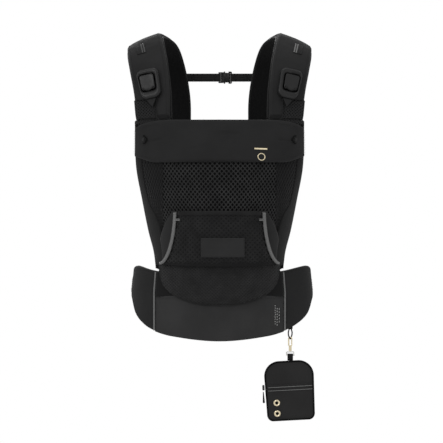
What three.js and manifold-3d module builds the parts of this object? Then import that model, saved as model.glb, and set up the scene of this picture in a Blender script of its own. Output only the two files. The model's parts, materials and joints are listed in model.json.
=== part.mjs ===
// A soft baby carrier, as worn: +Z up, its front faces -Y, the wearer stands inside it. Millimetres.
// The origin is on the wearer's upright axis, level with the lowest point of the waistband.
import * as THREE from 'three';
import Module from 'manifold-3d';
import { mergeVertices } from 'three/addons/utils/BufferGeometryUtils.js';

const wasm = await Module();
wasm.setup();

const DEG = Math.PI / 180;
const GAP = 0.4;

// Waistband: an elliptical ring, open only at its buckle.
const WAIST_A = 199;
const WAIST_B = 138;
const WAIST_TOP = 158;
const WING_START = 47.6;
const WING_END = 112;
// The right wing stands further out than the left.
const WING_FLARE = 11;
const WEBBING_Z = 126;
const WAIST_WEBBING = 38;

// Panel: heights, and how far its curve wraps.
const PANEL_BOTTOM = 168;
const PANEL_TOP = 494;
const SIDE_TOP = 396;
const PANEL_WRAP = 80;
const SEAT_LOW = 81;
const SEAT_HALF = 136;

// Shoulder straps, and the strap that links them behind the neck.
const STRAP_WIDTH = 84;
const STRAP_THICK = 15;
const LINING_THICK = 4;
const NECK_Z = 601;
const NECK_Y = 121;
const NECK_WEBBING = 19;
const NECK_BUCKLE_X = 9.6;
const SLIDER_X = 101;

// Shoulder buckles.
const POD_WIDTH = 50;
const POD_HEIGHT = 70;
const POD_DEPTH = 13;
const WELL_SHIFT = 3;
const WELL_RISE = 4;

// Pouch and the hook that it hangs from.
const HANG_X = 160;
const HANG_Y = -74;
const LOOP_LOW = 4.5;
const POUCH_WIDTH = 112;
const POUCH_HEIGHT = 135;
const POUCH_DEPTH = 26;
const POUCH_TILT = 3;
const POUCH_MIDDLE_Z = -112.5;

const group = new THREE.Group();

const FINISHES = {
  mesh: [0x202020, 0.85, 0],
  fabric: [0x2c2c2c, 0.8, 0],
  lining: [0x1a1a1a, 0.9, 0],
  foam: [0x3a3a3a, 0.95, 0],
  webbing: [0x242424, 0.7, 0],
  moulded: [0x262626, 0.4, 0],
  trim: [0x6c6c6c, 0.5, 0],
  patch: [0x303030, 0.7, 0],
  gold: [0xd8c8a0, 0.25, 1],
  silver: [0xd8d4cc, 0.3, 1],
};

function add(name, geometry, finish, parent = group) {
  const [color, roughness, metalness] = FINISHES[finish];
  const material = new THREE.MeshStandardMaterial({ color, roughness, metalness });
  const mesh = new THREE.Mesh(geometry, material);
  mesh.name = name;
  parent.add(mesh);
  return mesh;
}

// ---------------------------------------------------------------- tools

// A smooth curve through a few [at, value] pairs.
function profile(pairs) {
  return (at) => {
    const last = pairs.length - 1;
    if (at <= pairs[0][0]) return pairs[0][1];
    if (at >= pairs[last][0]) return pairs[last][1];
    const i = pairs.findIndex((pair) => pair[0] > at) - 1;
    const slope = (k) => {
      const a = pairs[Math.max(k - 1, 0)];
      const b = pairs[Math.min(k + 1, last)];
      return (b[1] - a[1]) / (b[0] - a[0]);
    };
    const step = pairs[i + 1][0] - pairs[i][0];
    const t = (at - pairs[i][0]) / step;
    const rise = t * t * (3 - 2 * t);
    const lead = t * (1 - t) * (1 - t) * step * slope(i);
    const trail = t * t * (t - 1) * step * slope(i + 1);
    return pairs[i][1] * (1 - rise) + pairs[i + 1][1] * rise + lead + trail;
  };
}

// A closed slab: place(u, v) gives the middle point for u in -1..1 and v in 0..1, and the slab
// reaches from low to high along the surface's outward normal.
function slab(place, low, high, uSteps, vSteps) {
  const geometry = new THREE.BoxGeometry(2, 1, 1, uSteps, vSteps, 1);
  const at = geometry.attributes.position;
  const eps = 1e-3;
  for (let i = 0; i < at.count; i += 1) {
    const u = at.getX(i);
    const v = at.getY(i) + 0.5;
    const offset = at.getZ(i) > 0 ? high : low;
    const u0 = Math.max(u - eps, -1);
    const u1 = Math.min(u + eps, 1);
    const v0 = Math.max(v - eps, 0);
    const v1 = Math.min(v + eps, 1);
    const across = place(u1, v).sub(place(u0, v));
    const along = place(u, v1).sub(place(u, v0));
    const normal = across.cross(along).normalize();
    const point = place(u, v).addScaledVector(normal, offset);
    at.setXYZ(i, point.x, point.y, point.z);
  }
  return geometry;
}

// A mirrored copy, with its faces turned to point out again.
function mirrored(geometry) {
  const copy = geometry.clone();
  copy.scale(-1, 1, 1);
  const source = copy.index ? copy.toNonIndexed() : copy;
  const at = source.attributes.position;
  for (let i = 0; i < at.count; i += 3) {
    const [x, y, z] = [at.getX(i), at.getY(i), at.getZ(i)];
    at.setXYZ(i, at.getX(i + 1), at.getY(i + 1), at.getZ(i + 1));
    at.setXYZ(i + 1, x, y, z);
  }
  return source;
}

function solid(geometry) {
  const bare = geometry.clone();
  for (const name of Object.keys(bare.attributes)) {
    if (name !== 'position') bare.deleteAttribute(name);
  }
  const merged = mergeVertices(bare, 1e-4);
  return new wasm.Manifold(new wasm.Mesh({
    numProp: 3,
    vertProperties: new Float32Array(merged.attributes.position.array),
    triVerts: new Uint32Array(merged.index.array),
  }));
}

function surface(manifold) {
  const mesh = manifold.getMesh();
  const geometry = new THREE.BufferGeometry();
  geometry.setAttribute('position', new THREE.BufferAttribute(mesh.vertProperties, 3));
  geometry.setIndex(new THREE.BufferAttribute(mesh.triVerts, 1));
  return geometry;
}

function cut(geometry, ...tools) {
  return surface(tools.reduce((body, tool) => body.subtract(solid(tool)), solid(geometry)));
}

function block(x0, x1, y0, y1, z0, z1) {
  const geometry = new THREE.BoxGeometry(x1 - x0, y1 - y0, z1 - z0);
  return geometry.translate((x0 + x1) / 2, (y0 + y1) / 2, (z0 + z1) / 2);
}

// A rounded rectangle in X and Z, from y = 0 back to y = depth.
function roundedPlate(width, height, radius, depth, curveSegments = 4) {
  const [w, h] = [width / 2, height / 2];
  const shape = new THREE.Shape();
  shape.moveTo(-w + radius, -h);
  shape.lineTo(w - radius, -h);
  shape.absarc(w - radius, -h + radius, radius, -90 * DEG, 0);
  shape.lineTo(w, h - radius);
  shape.absarc(w - radius, h - radius, radius, 0, 90 * DEG);
  shape.lineTo(-w + radius, h);
  shape.absarc(-w + radius, h - radius, radius, 90 * DEG, 180 * DEG);
  shape.lineTo(-w, -h + radius);
  shape.absarc(-w + radius, -h + radius, radius, 180 * DEG, 270 * DEG);
  return upright(shape, depth, curveSegments);
}

// Extrudes a shape drawn in X and Z towards +Y, from y = 0.
function upright(shape, depth, curveSegments = 6) {
  const geometry = new THREE.ExtrudeGeometry(shape, { depth, bevelEnabled: false, curveSegments });
  return geometry.rotateX(90 * DEG).translate(0, depth, 0);
}

// A group whose X runs from one point to another and whose Z stays as upright as it can.
function lineFrame(from, to) {
  const x = new THREE.Vector3().subVectors(to, from).normalize();
  const y = new THREE.Vector3(0, 0, 1).cross(x).normalize();
  const z = new THREE.Vector3().crossVectors(x, y);
  const frame = new THREE.Group();
  frame.applyMatrix4(new THREE.Matrix4().makeBasis(x, y, z));
  frame.position.copy(from);
  group.add(frame);
  return frame;
}

// ---------------------------------------------------------------- surfaces

const panelHalf = profile([[168, 144], [204, 149], [250, 161], [320, 175], [395, 188], [498, 190]]);
const panelFront = profile([[168, -210], [215, -222], [290, -222], [400, -204], [498, -186]]);
const panelEdge = profile([[168, -70], [250, -50], [320, -52], [400, -88], [498, -130]]);

// The panel's outer surface at x and height z.
function panelPoint(x, z) {
  const wrap = Math.sin(PANEL_WRAP * DEG);
  const flat = Math.cos(PANEL_WRAP * DEG);
  const lean = Math.sqrt(Math.max(1 - ((wrap * x) / panelHalf(z)) ** 2, 0));
  const edge = panelEdge(z);
  const y = edge - ((edge - panelFront(z)) * (lean - flat)) / (1 - flat);
  return new THREE.Vector3(x, y, z);
}

// Spreads u evenly along the curve, so facets are alike in length.
function panelAt(u, z) {
  const x = (panelHalf(z) * Math.sin(u * PANEL_WRAP * DEG)) / Math.sin(PANEL_WRAP * DEG);
  return panelPoint(x, z);
}

const wingFlare = profile([[WING_START, 0], [58, 2.5], [76, WING_FLARE], [100, WING_FLARE], [130, 3],
  [155, 0]]);

// The waistband's outer surface, angle in degrees from the front, positive to the right.
function waistPoint(angle, z) {
  const lean = 1 - 0.03 * Math.max((z - 110) / 60, 0);
  const x = (WAIST_A * lean + wingFlare(angle)) * Math.sin(angle * DEG);
  return new THREE.Vector3(x, -WAIST_B * lean * Math.cos(angle * DEG), z);
}

const waistLow = profile([[-33, 11], [0, 0], [33, 11], [50, 24], [60, 36], [72, 57], [84, 90],
  [WING_END, 103]]);
const waistHigh = profile([[0, WAIST_TOP], [44, WAIST_TOP], [74, 170], [90, 168], [WING_END, 148]]);

function waistSlab(from, to, low, high, inset, steps, rows, trim = 0) {
  const place = (u, v) => {
    const angle = from + ((to - from) * (u + 1)) / 2;
    const bottom = waistLow(Math.abs(angle)) + trim;
    const top = waistHigh(Math.abs(angle)) - trim;
    return waistPoint(angle, bottom + (top - bottom) * v);
  };
  return slab(place, low - inset, high - inset, steps, rows);
}

// ---------------------------------------------------------------- panel

function panelSlab(z0, z1, low, high, uSteps, vSteps, uMax = 1) {
  return slab((u, v) => panelAt(u * uMax, z0 + (z1 - z0) * v), low, high, uSteps, vSteps);
}

function buildPanel() {
  add('front_panel', panelSlab(PANEL_BOTTOM, PANEL_TOP, -3, 0, 20, 10), 'mesh');
  add('panel_lining', panelSlab(PANEL_BOTTOM, PANEL_TOP, -8, -4.2, 20, 10), 'lining');
  const sideInner = profile([[PANEL_BOTTOM, 0.74], [250, 0.6], [300, 0.62], [SIDE_TOP, 0.8]]);
  const sidePlace = (u, v) => {
    const z = PANEL_BOTTOM + (SIDE_TOP - PANEL_BOTTOM) * v;
    const inner = sideInner(z);
    return panelAt(inner + ((1 - inner) * (u + 1)) / 2, z);
  };
  const side = slab(sidePlace, 1.2, 3, 4, 8);
  add('side_panel_right', side, 'fabric');
  add('side_panel_left', mirrored(side), 'fabric');
}

const POCKET_LOW = 173;
const POCKET_TOP = 291;
const POCKET_HALF = 87;
const POCKET_FLARE = 36;
const PATCH_X = 6.5;
const PATCH_HALF = 43;
const PATCH_LOW = 194;
const PATCH_HIGH = 234;

// The pocket's hand edge, a quarter oval that opens out towards its foot. v runs from foot to top.
function pocketEdge(v, away = 0) {
  const turn = (1 - v) * 88 * DEG;
  const rise = POCKET_TOP - POCKET_LOW;
  const [outX, outZ] = [rise * Math.cos(turn), POCKET_FLARE * Math.sin(turn)];
  const shift = away / Math.hypot(outX, outZ);
  const x = POCKET_HALF + POCKET_FLARE * (1 - Math.cos(turn)) + outX * shift;
  return [x, POCKET_TOP - rise * Math.sin(turn) + outZ * shift];
}

function buildPocket() {
  const place = (u, v) => {
    const [x, z] = pocketEdge(v);
    return panelPoint(u * x, z);
  };
  add('kangaroo_pocket', slab(place, 14, 16, 12, 8), 'mesh');
  const pipingPlace = (u, v) => panelPoint(...pocketEdge(v, 4.2 + 3 * u));
  const piping = slab(pipingPlace, 13.4, 16.6, 1, 8);
  add('pocket_piping_right', piping, 'trim');
  add('pocket_piping_left', mirrored(piping), 'trim');
  const patchPlace = (u, v) => panelPoint(
    PATCH_X + PATCH_HALF * u,
    PATCH_LOW + (PATCH_HIGH - PATCH_LOW) * v,
  );
  add('label_patch', slab(patchPlace, 17.4, 18.6, 6, 3), 'patch');
}

function buildSeat() {
  const top = PANEL_BOTTOM - 2 * GAP;
  const place = (u, v) => {
    const x = SEAT_HALF * u;
    const drop = (1 - Math.abs(u) ** 2.4) ** (1 / 2.2);
    const low = top - 6 - (top - 6 - SEAT_LOW) * drop;
    const z = low + (top - low) * v;
    const angle = Math.asin(x / WAIST_A) / DEG;
    const foot = waistPoint(angle, low).y - 8;
    const head = panelPoint(x, PANEL_BOTTOM).y;
    const bulge = Math.sin(v * 90 * DEG) ** 0.75;
    return new THREE.Vector3(x, foot + (head - foot) * bulge, z);
  };
  add('seat_panel', slab(place, -2, 2, 18, 7), 'mesh');
}

// ---------------------------------------------------------------- waistband

function buildWaistband() {
  const edge = WING_START - 0.3;
  add('waistband_cover', waistSlab(-edge, edge, -3, 0, 0, 14, 3), 'fabric');
  add('waistband_foam', waistSlab(-edge, edge, -14, -4, 0, 14, 3, 6), 'foam');
  add('waistband_lining', waistSlab(-WING_END + 8, WING_END - 8, -19, -16.5, 0, 28, 3, 8), 'lining');
  add('waistband_wing_right', waistSlab(WING_START, WING_END, -14, 0, 0, 10, 3), 'fabric');
  add('waistband_wing_left', waistSlab(-WING_END, -WING_START, -14, 0, 0, 10, 3), 'fabric');
  const stripPlace = (u, v) => waistPoint(WING_START + 0.9 * u, 27 + 128 * v);
  const strip = slab(stripPlace, 1, 2.2, 1, 6);
  add('reflective_strip_right', strip, 'trim');
  add('reflective_strip_left', mirrored(strip), 'trim');
}

const WEBBING_START = 96;
// The two webbings end at their halves of the buckle, the housing's being longer.
const HOUSING_ANGLE = 168.4;
const INSERT_ANGLE = 173.3;
function buildWaistWebbing() {
  const webbing = (from, to) => slab((u, v) => {
    const angle = from + ((to - from) * (u + 1)) / 2;
    return waistPoint(angle, WEBBING_Z - WAIST_WEBBING / 2 + WAIST_WEBBING * v);
  }, 1.5, 4, 14, 1);
  add('waist_webbing_right', webbing(WEBBING_START, HOUSING_ANGLE), 'webbing');
  add('waist_webbing_left', webbing(-INSERT_ANGLE, -WEBBING_START), 'webbing');
}

// ---------------------------------------------------------------- side-release buckle

// X runs along the webbing, Z across it. The housing fills x > 0 and the insert x < 0, with its two
// prongs and its guide inside the housing.
function buckleSizes(webbing) {
  const width = webbing + 9;
  const half = width / 2;
  const thick = 5 + webbing * 0.16;
  const wall = thick * 0.22;
  return { width, half, thick, wall, length: webbing * 0.95 + 2, base: webbing * 0.55 };
}

function buckleHousing(webbing) {
  const { width, half, thick, wall, length } = buckleSizes(webbing);
  const body = roundedPlate(length, width, 3, thick).translate(length / 2, -thick / 2, 0);
  const room = block(-1, length * 0.7, -thick / 2 + wall, thick / 2 - wall, -half + 2.4, half - 2.4);
  const window = (side) => {
    const middle = side * half;
    return block(length * 0.22, length * 0.6, -thick, thick, middle - 3, middle + 3);
  };
  const slot = block(length * 0.8, length * 0.92, -thick, thick, -webbing / 2 - 1, webbing / 2 + 1);
  return cut(body, room, window(1), window(-1), slot);
}

function buckleInsert(webbing) {
  const { half, thick, wall, length, base } = buckleSizes(webbing);
  const reach = length * 0.62;
  const root = -0.6;
  const prong = 2.6 + webbing * 0.03;
  const outer = half - 2.4 - GAP;
  const guide = 2 + webbing * 0.02;
  const shape = new THREE.Shape();
  shape.moveTo(root - base, -half + 1.5);
  shape.lineTo(root, -half + 1.5);
  shape.lineTo(root, -outer);
  shape.lineTo(reach - 2, -outer);
  shape.lineTo(reach, -outer + prong);
  shape.lineTo(root + 3, -outer + prong);
  shape.lineTo(root + 3, -guide);
  shape.lineTo(reach * 0.8, -guide);
  shape.lineTo(reach * 0.8, guide);
  shape.lineTo(root + 3, guide);
  shape.lineTo(root + 3, outer - prong);
  shape.lineTo(reach, outer - prong);
  shape.lineTo(reach - 2, outer);
  shape.lineTo(root, outer);
  shape.lineTo(root, half - 1.5);
  shape.lineTo(root - base, half - 1.5);
  const slot = new THREE.Path();
  slot.moveTo(root - base * 0.72, -webbing / 2 - 0.6);
  slot.lineTo(root - base * 0.72, webbing / 2 + 0.6);
  slot.lineTo(root - base * 0.5, webbing / 2 + 0.6);
  slot.lineTo(root - base * 0.5, -webbing / 2 - 0.6);
  shape.holes.push(slot);
  const depth = thick - 2 * wall - 2 * GAP;
  return upright(shape, depth).translate(0, -depth / 2, 0);
}

function buildWaistBuckle() {
  const frame = new THREE.Group();
  frame.position.set(0, WAIST_B + 2, WEBBING_Z);
  group.add(frame);
  add('waist_buckle_housing', buckleHousing(WAIST_WEBBING), 'moulded', frame);
  add('waist_buckle_insert', buckleInsert(WAIST_WEBBING), 'moulded', frame);
}

// ---------------------------------------------------------------- shoulder straps

// The right strap's middle line, from the panel's top corner, over the shoulder and down the back.
const strapLine = new THREE.CatmullRomCurve3([
  new THREE.Vector3(145, -144, 497),
  new THREE.Vector3(150, -131, 560),
  new THREE.Vector3(159, -108, 618),
  new THREE.Vector3(166, -60, 657),
  new THREE.Vector3(165, 0, 671),
  new THREE.Vector3(139, 52, 658),
  new THREE.Vector3(124, 96, 622),
  new THREE.Vector3(112, 106, 560),
  new THREE.Vector3(110, 107, 500),
  new THREE.Vector3(114, 98, 400),
], false, 'catmullrom', 0.5);

// How far the strap leans outwards over the shoulder, and how far its foot turns with the panel.
const strapTurn = profile([[0, 0], [0.15, 4], [0.4, 24], [0.55, 18], [0.78, 2], [1, 0]]);
const strapYaw = profile([[0, 27], [0.14, 14], [0.3, 0], [1, 0]]);

// The strap's inner face, u across it from the neck side, v along it.
function strapPoint(u, v, width) {
  const at = strapLine.getPointAt(v);
  const turn = strapTurn(v) * DEG;
  const yaw = strapYaw(v) * DEG;
  const reach = (u * width) / 2;
  const across = new THREE.Vector3(Math.cos(turn) * Math.cos(yaw), Math.sin(yaw), -Math.sin(turn));
  return at.addScaledVector(across, reach);
}

const BASE_END = 0.064;
function buildStraps() {
  const cover = slab((u, v) => strapPoint(u, v, STRAP_WIDTH), 0, STRAP_THICK, 2, 34);
  add('shoulder_strap_right', cover, 'fabric');
  add('shoulder_strap_left', mirrored(cover), 'fabric');
  const lining = slab((u, v) => strapPoint(u, v, STRAP_WIDTH - 2), -1 - LINING_THICK, -1, 2, 34);
  add('shoulder_lining_right', lining, 'lining');
  add('shoulder_lining_left', mirrored(lining), 'lining');
  const basePlace = (u, v) => {
    const along = 0.004 + BASE_END * v;
    return strapPoint(0.36 + 0.62 * u, along, STRAP_WIDTH);
  };
  const base = slab(basePlace, STRAP_THICK + 1.2, STRAP_THICK + 4, 2, 6);
  add('strap_base_right', base, 'mesh');
  add('strap_base_left', mirrored(base), 'mesh');
}

// ---------------------------------------------------------------- shoulder buckles

const POD_ALONG = 0.132;
const POD_ACROSS = 0.02;
const TONGUE_HALF = 13;
const TONGUE_TOP = -36;
const TONGUE_TIP = -56;

// A buckle's own frame: X across the strap, Z along it, -Y out of its face, its back on the strap.
function podFrame(side) {
  const middle = strapPoint(POD_ACROSS, POD_ALONG, STRAP_WIDTH);
  const z = strapPoint(POD_ACROSS, POD_ALONG + 0.02, STRAP_WIDTH).sub(middle).normalize();
  const across = strapPoint(1, POD_ALONG, STRAP_WIDTH).sub(strapPoint(-1, POD_ALONG, STRAP_WIDTH));
  const y = z.clone().cross(across).normalize();
  middle.addScaledVector(y, -(STRAP_THICK + 1.4 + POD_DEPTH));
  for (const vector of [middle, y, z]) vector.x *= side;
  const frame = new THREE.Group();
  frame.applyMatrix4(new THREE.Matrix4().makeBasis(y.clone().cross(z), y, z));
  frame.position.copy(middle);
  group.add(frame);
  return frame;
}

function buildShoulderBuckle(side, name) {
  const frame = podFrame(side);
  const body = roundedPlate(POD_WIDTH, POD_HEIGHT, 11, POD_DEPTH);
  const well = roundedPlate(35, 37, 6, 8).translate(side * WELL_SHIFT, -0.5, WELL_RISE);
  add(`shoulder_buckle_${name}`, cut(body, well), 'moulded', frame);
  const button = roundedPlate(33.6, 35.6, 5.4, 4).translate(side * WELL_SHIFT, 0.6, WELL_RISE);
  add(`press_button_${name}`, button, 'moulded', frame);
  const tongue = new THREE.Shape();
  tongue.moveTo(-TONGUE_HALF, TONGUE_TOP);
  tongue.lineTo(0, TONGUE_TIP);
  tongue.lineTo(TONGUE_HALF, TONGUE_TOP);
  add(`buckle_tongue_${name}`, upright(tongue, 3).translate(0, 6, 0), 'fabric', frame);
}

// ---------------------------------------------------------------- strap ends

const SIDE_ANCHOR = [163, -38, 285];
const STRAP_END = [116, 97, 388];
const SIDE_WEBBING = 25;
const SIDE_TAIL = 29.4;
const WEBBING_HALF_THICK = 1.1;

// Each strap's lower webbing runs forward to a side-release buckle at the panel's side edge.
function buildStrapEnd(side, name) {
  const anchor = new THREE.Vector3(side * SIDE_ANCHOR[0], SIDE_ANCHOR[1], SIDE_ANCHOR[2]);
  const strapEnd = new THREE.Vector3(side * STRAP_END[0], STRAP_END[1], STRAP_END[2]);
  const frame = lineFrame(anchor, strapEnd);
  const length = anchor.distanceTo(strapEnd);
  const { length: body, base } = buckleSizes(SIDE_WEBBING);
  const mouth = SIDE_TAIL + 0.6 + body;
  const slack = mouth + base + 1.5;
  const half = SIDE_WEBBING / 2;
  const tail = block(2, SIDE_TAIL, -WEBBING_HALF_THICK, WEBBING_HALF_THICK, -half, half);
  add(`side_webbing_${name}`, tail, 'webbing', frame);
  const housing = buckleHousing(SIDE_WEBBING).rotateZ(180 * DEG).translate(mouth, 0, 0);
  add(`side_buckle_housing_${name}`, housing, 'moulded', frame);
  const insert = buckleInsert(SIDE_WEBBING).rotateZ(180 * DEG).translate(mouth, 0, 0);
  add(`side_buckle_insert_${name}`, insert, 'moulded', frame);
  const end = length - 4;
  const strap = new THREE.BoxGeometry(end - slack, 2 * WEBBING_HALF_THICK, SIDE_WEBBING, 4, 1, 1);
  strap.translate((end + slack) / 2, 0, 0);
  add(`strap_webbing_${name}`, strap, 'webbing', frame);
}

// ---------------------------------------------------------------- neck strap

function buildNeckStrap() {
  const { length, base } = buckleSizes(NECK_WEBBING);
  const frame = new THREE.Group();
  frame.position.set(0, NECK_Y + 7, NECK_Z);
  group.add(frame);
  const buckleX = NECK_BUCKLE_X - 1;
  const housing = buckleHousing(NECK_WEBBING).translate(buckleX, 0, 0);
  add('neck_buckle_housing', housing, 'moulded', frame);
  add('neck_buckle_insert', buckleInsert(NECK_WEBBING).translate(buckleX, 0, 0), 'moulded', frame);
  const half = NECK_WEBBING / 2;
  const right = block(buckleX + length + GAP, SLIDER_X - 13, -0.9, 0.9, -half, half);
  add('neck_webbing_right', right, 'webbing', frame);
  const left = block(-SLIDER_X + 13, buckleX - 0.6 - base - GAP, -0.9, 0.9, -half, half);
  add('neck_webbing_left', left, 'webbing', frame);
  for (const [side, name] of [[1, 'right'], [-1, 'left']]) {
    const plate = roundedPlate(24, 27, 3, 5).translate(side * SLIDER_X, -2.5, 0);
    const slot = (x) => block(x - 1.4, x + 1.4, -5, 5, -half - 0.8, half + 0.8);
    const slider = cut(plate, slot(side * SLIDER_X - 6), slot(side * SLIDER_X + 6));
    add(`neck_slider_${name}`, slider, 'moulded', frame);
  }
}

// ---------------------------------------------------------------- head support

const FLAP_HALF = 185.5;
const FLAP_WRAP = 78;
function buildHeadSupport() {
  const low = profile([[0, 403], [136, 403], [152, 405], [186, 418]]);
  const high = profile([[0, 498], [122, 498], [150, 495], [165, 492], [178, 486], [190, 477]]);
  const place = (u, v) => {
    const x = (FLAP_HALF * Math.sin(u * FLAP_WRAP * DEG)) / Math.sin(FLAP_WRAP * DEG);
    const bottom = low(Math.abs(x));
    return panelPoint(x, bottom + (high(Math.abs(x)) - bottom) * v);
  };
  add('head_support', slab(place, 4.5, 8, 22, 5), 'fabric');
  const loopPlace = (u, v) => panelPoint(164 + 5 * u, 449 + 10 * v);
  const loop = slab(loopPlace, 9, 12, 1, 1);
  add('snap_button_right', loop, 'moulded');
  add('snap_button_left', mirrored(loop), 'moulded');
}

// ---------------------------------------------------------------- hook and pouch

function tube(points, radius, steps, sides) {
  const ring = new THREE.Shape();
  for (let i = 0; i < sides; i += 1) {
    const angle = (2 * Math.PI * i) / sides;
    const step = i === 0 ? 'moveTo' : 'lineTo';
    ring[step](radius * Math.cos(angle), radius * Math.sin(angle));
  }
  const extrudePath = new THREE.CatmullRomCurve3(points);
  return new THREE.ExtrudeGeometry(ring, { steps, extrudePath });
}

function buildCordLoop() {
  const route = [[-2, 0.5, 27.5], [-4.2, -2.5, 19.5], [-3.4, -5.2, 11], [0, -3.5, 5.4],
    [0, 0, LOOP_LOW], [0, 3.5, 5.4], [3.4, 5.2, 11], [4.2, 2.5, 19.5], [2, -0.5, 27.5]];
  const points = route.map(([x, y, z]) => new THREE.Vector3(HANG_X + x, HANG_Y + y, z));
  add('cord_loop', tube(points, 1.2, 24, 8), 'webbing');
}

// The hook, its swivel eye and the tab, in heights below the cord.
const HOOK_INNER = 1.9;
const HOOK_OUTER = 5;
const HOOK_NOSE = -1.8;
const HOOK_LOW = -13;
const SHANK_HALF = 3.2;
const SHANK_TOP = HOOK_LOW - 8.6;
const SHANK_LOW = -27.6;
const EYE_HALF = 9.5;
const EYE_INNER = 7.2;
const EYE_TOP = -28.2;
const EYE_LOW = -38;
const TAB_TOP = -33.4;
const TAB_LOW = -49;
const TAB_WIDTH = 12.6;

function buildHook() {
  const frame = new THREE.Group();
  frame.position.set(HANG_X, HANG_Y, LOOP_LOW);
  group.add(frame);
  const ring = new THREE.Shape();
  ring.moveTo(HOOK_INNER, HOOK_NOSE);
  ring.lineTo(HOOK_INNER, 0);
  ring.absarc(0, 0, HOOK_INNER, 0, 180 * DEG);
  ring.lineTo(-HOOK_INNER, HOOK_LOW);
  ring.absarc(0, HOOK_LOW, HOOK_INNER, 180 * DEG, 360 * DEG);
  ring.lineTo(HOOK_OUTER, HOOK_LOW);
  ring.absarc(0, HOOK_LOW, HOOK_OUTER, 0, -50 * DEG, true);
  ring.lineTo(SHANK_HALF, SHANK_TOP);
  ring.lineTo(SHANK_HALF, SHANK_LOW);
  ring.lineTo(-SHANK_HALF, SHANK_LOW);
  ring.lineTo(-SHANK_HALF, SHANK_TOP);
  ring.absarc(0, HOOK_LOW, HOOK_OUTER, 230 * DEG, 180 * DEG, true);
  ring.lineTo(-HOOK_OUTER, 0);
  ring.absarc(0, 0, HOOK_OUTER, 180 * DEG, 0, true);
  ring.lineTo(HOOK_OUTER, HOOK_NOSE);
  add('snap_hook', upright(ring, 3.4).translate(0, -1.7, 0), 'gold', frame);
  const [gateTop, gateLow] = [HOOK_NOSE - GAP, HOOK_LOW + GAP];
  const gate = block(HOOK_INNER + 0.2, HOOK_OUTER - 0.2, -1.5, 1.5, gateLow, gateTop);
  add('hook_gate', gate, 'gold', frame);

  const eye = new THREE.Shape();
  eye.moveTo(-EYE_HALF, EYE_LOW);
  eye.lineTo(EYE_HALF, EYE_LOW);
  eye.lineTo(EYE_HALF, EYE_TOP - 1.8);
  eye.lineTo(EYE_HALF - 2, EYE_TOP);
  eye.lineTo(-EYE_HALF + 2, EYE_TOP);
  eye.lineTo(-EYE_HALF, EYE_TOP - 1.8);
  const opening = new THREE.Path();
  opening.moveTo(-EYE_INNER, EYE_LOW + 2.6);
  opening.lineTo(-EYE_INNER, EYE_TOP - 2.6);
  opening.lineTo(EYE_INNER, EYE_TOP - 2.6);
  opening.lineTo(EYE_INNER, EYE_LOW + 2.6);
  eye.holes.push(opening);
  add('swivel_eye', upright(eye, 2.6).translate(0, -1.3, 0), 'silver', frame);

  // The tab is webbing doubled over the eye's lower bar.
  const tab = new THREE.Shape();
  tab.moveTo(-3, TAB_LOW);
  tab.lineTo(-1.7, TAB_LOW);
  tab.lineTo(-1.7, EYE_LOW + 3);
  tab.lineTo(1.7, EYE_LOW + 3);
  tab.lineTo(1.7, TAB_LOW);
  tab.lineTo(3, TAB_LOW);
  tab.lineTo(3, TAB_TOP);
  tab.lineTo(-3, TAB_TOP);
  const strap = new THREE.ExtrudeGeometry(tab, { depth: TAB_WIDTH, bevelEnabled: false });
  strap.translate(0, 0, -TAB_WIDTH / 2);
  strap.rotateX(90 * DEG).rotateZ(90 * DEG);
  add('pouch_tab', strap, 'webbing', frame);
}

function pouchShape(inset) {
  const w = POUCH_WIDTH / 2 - inset;
  const h = POUCH_HEIGHT / 2 - inset;
  const [top, foot] = [34 - inset, 14 - inset];
  const shape = new THREE.Shape();
  shape.moveTo(-w + foot, -h);
  shape.lineTo(w - foot, -h);
  shape.absarc(w - foot, -h + foot, foot, -90 * DEG, 0);
  shape.lineTo(w, h - top);
  shape.absarc(w - top, h - top, top, 0, 90 * DEG);
  shape.lineTo(-w + top, h);
  shape.absarc(-w + top, h - top, top, 90 * DEG, 180 * DEG);
  shape.lineTo(-w, -h + foot);
  shape.absarc(-w + foot, -h + foot, foot, 180 * DEG, 270 * DEG);
  return shape;
}

function buildPouch() {
  const frame = new THREE.Group();
  frame.position.set(HANG_X - 1, HANG_Y, POUCH_MIDDLE_Z);
  frame.rotation.y = -POUCH_TILT * DEG;
  group.add(frame);
  const bevel = 5;
  const body = new THREE.ExtrudeGeometry(pouchShape(bevel), {
    depth: POUCH_DEPTH - 2 * bevel, bevelSize: bevel, bevelThickness: bevel, bevelSegments: 2,
    curveSegments: 5,
  });
  body.rotateX(90 * DEG).translate(0, POUCH_DEPTH / 2 - bevel, 0);
  add('pouch_body', body, 'fabric', frame);
  const left = -POUCH_WIDTH / 2;
  const slider = roundedPlate(5, 12, 1.5, 9).translate(left - 3.2, -4.5, 9.5);
  add('zip_slider', slider, 'moulded', frame);
  const pull = roundedPlate(2.4, 27, 1, 6).translate(left - 4, -3, -11);
  add('zip_puller', pull, 'moulded', frame);
  for (const [name, z] of [['upper', -26], ['lower', -50]]) {
    const profilePoints = [[3.4, 0], [7.5, 0], [7.5, 1], [5.5, 2], [3.4, 1], [3.4, 0]];
    const eyelet = new THREE.LatheGeometry(profilePoints.map(([r, h]) => new THREE.Vector2(r, h)), 20);
    eyelet.rotateX(180 * DEG).translate(-31, -POUCH_DEPTH / 2 - GAP, z);
    add(`eyelet_${name}`, eyelet, 'gold', frame);
  }
}

buildPanel();
buildPocket();
buildSeat();
buildWaistband();
buildWaistWebbing();
buildWaistBuckle();
buildStraps();
buildShoulderBuckle(1, 'right');
buildShoulderBuckle(-1, 'left');
buildStrapEnd(1, 'right');
buildStrapEnd(-1, 'left');
buildNeckStrap();
buildHeadSupport();
buildCordLoop();
buildHook();
buildPouch();

export default group;
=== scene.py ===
"""A soft baby carrier, as worn. Lengths are millimetres until a piece is made, then metres.

+Z is up and the carrier's front faces -Y. Curved fabric is described by the same surfaces as its CAD
solid: a place function gives a surface point from two numbers, and layers stand off it by an offset.
"""

import json
import math

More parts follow.
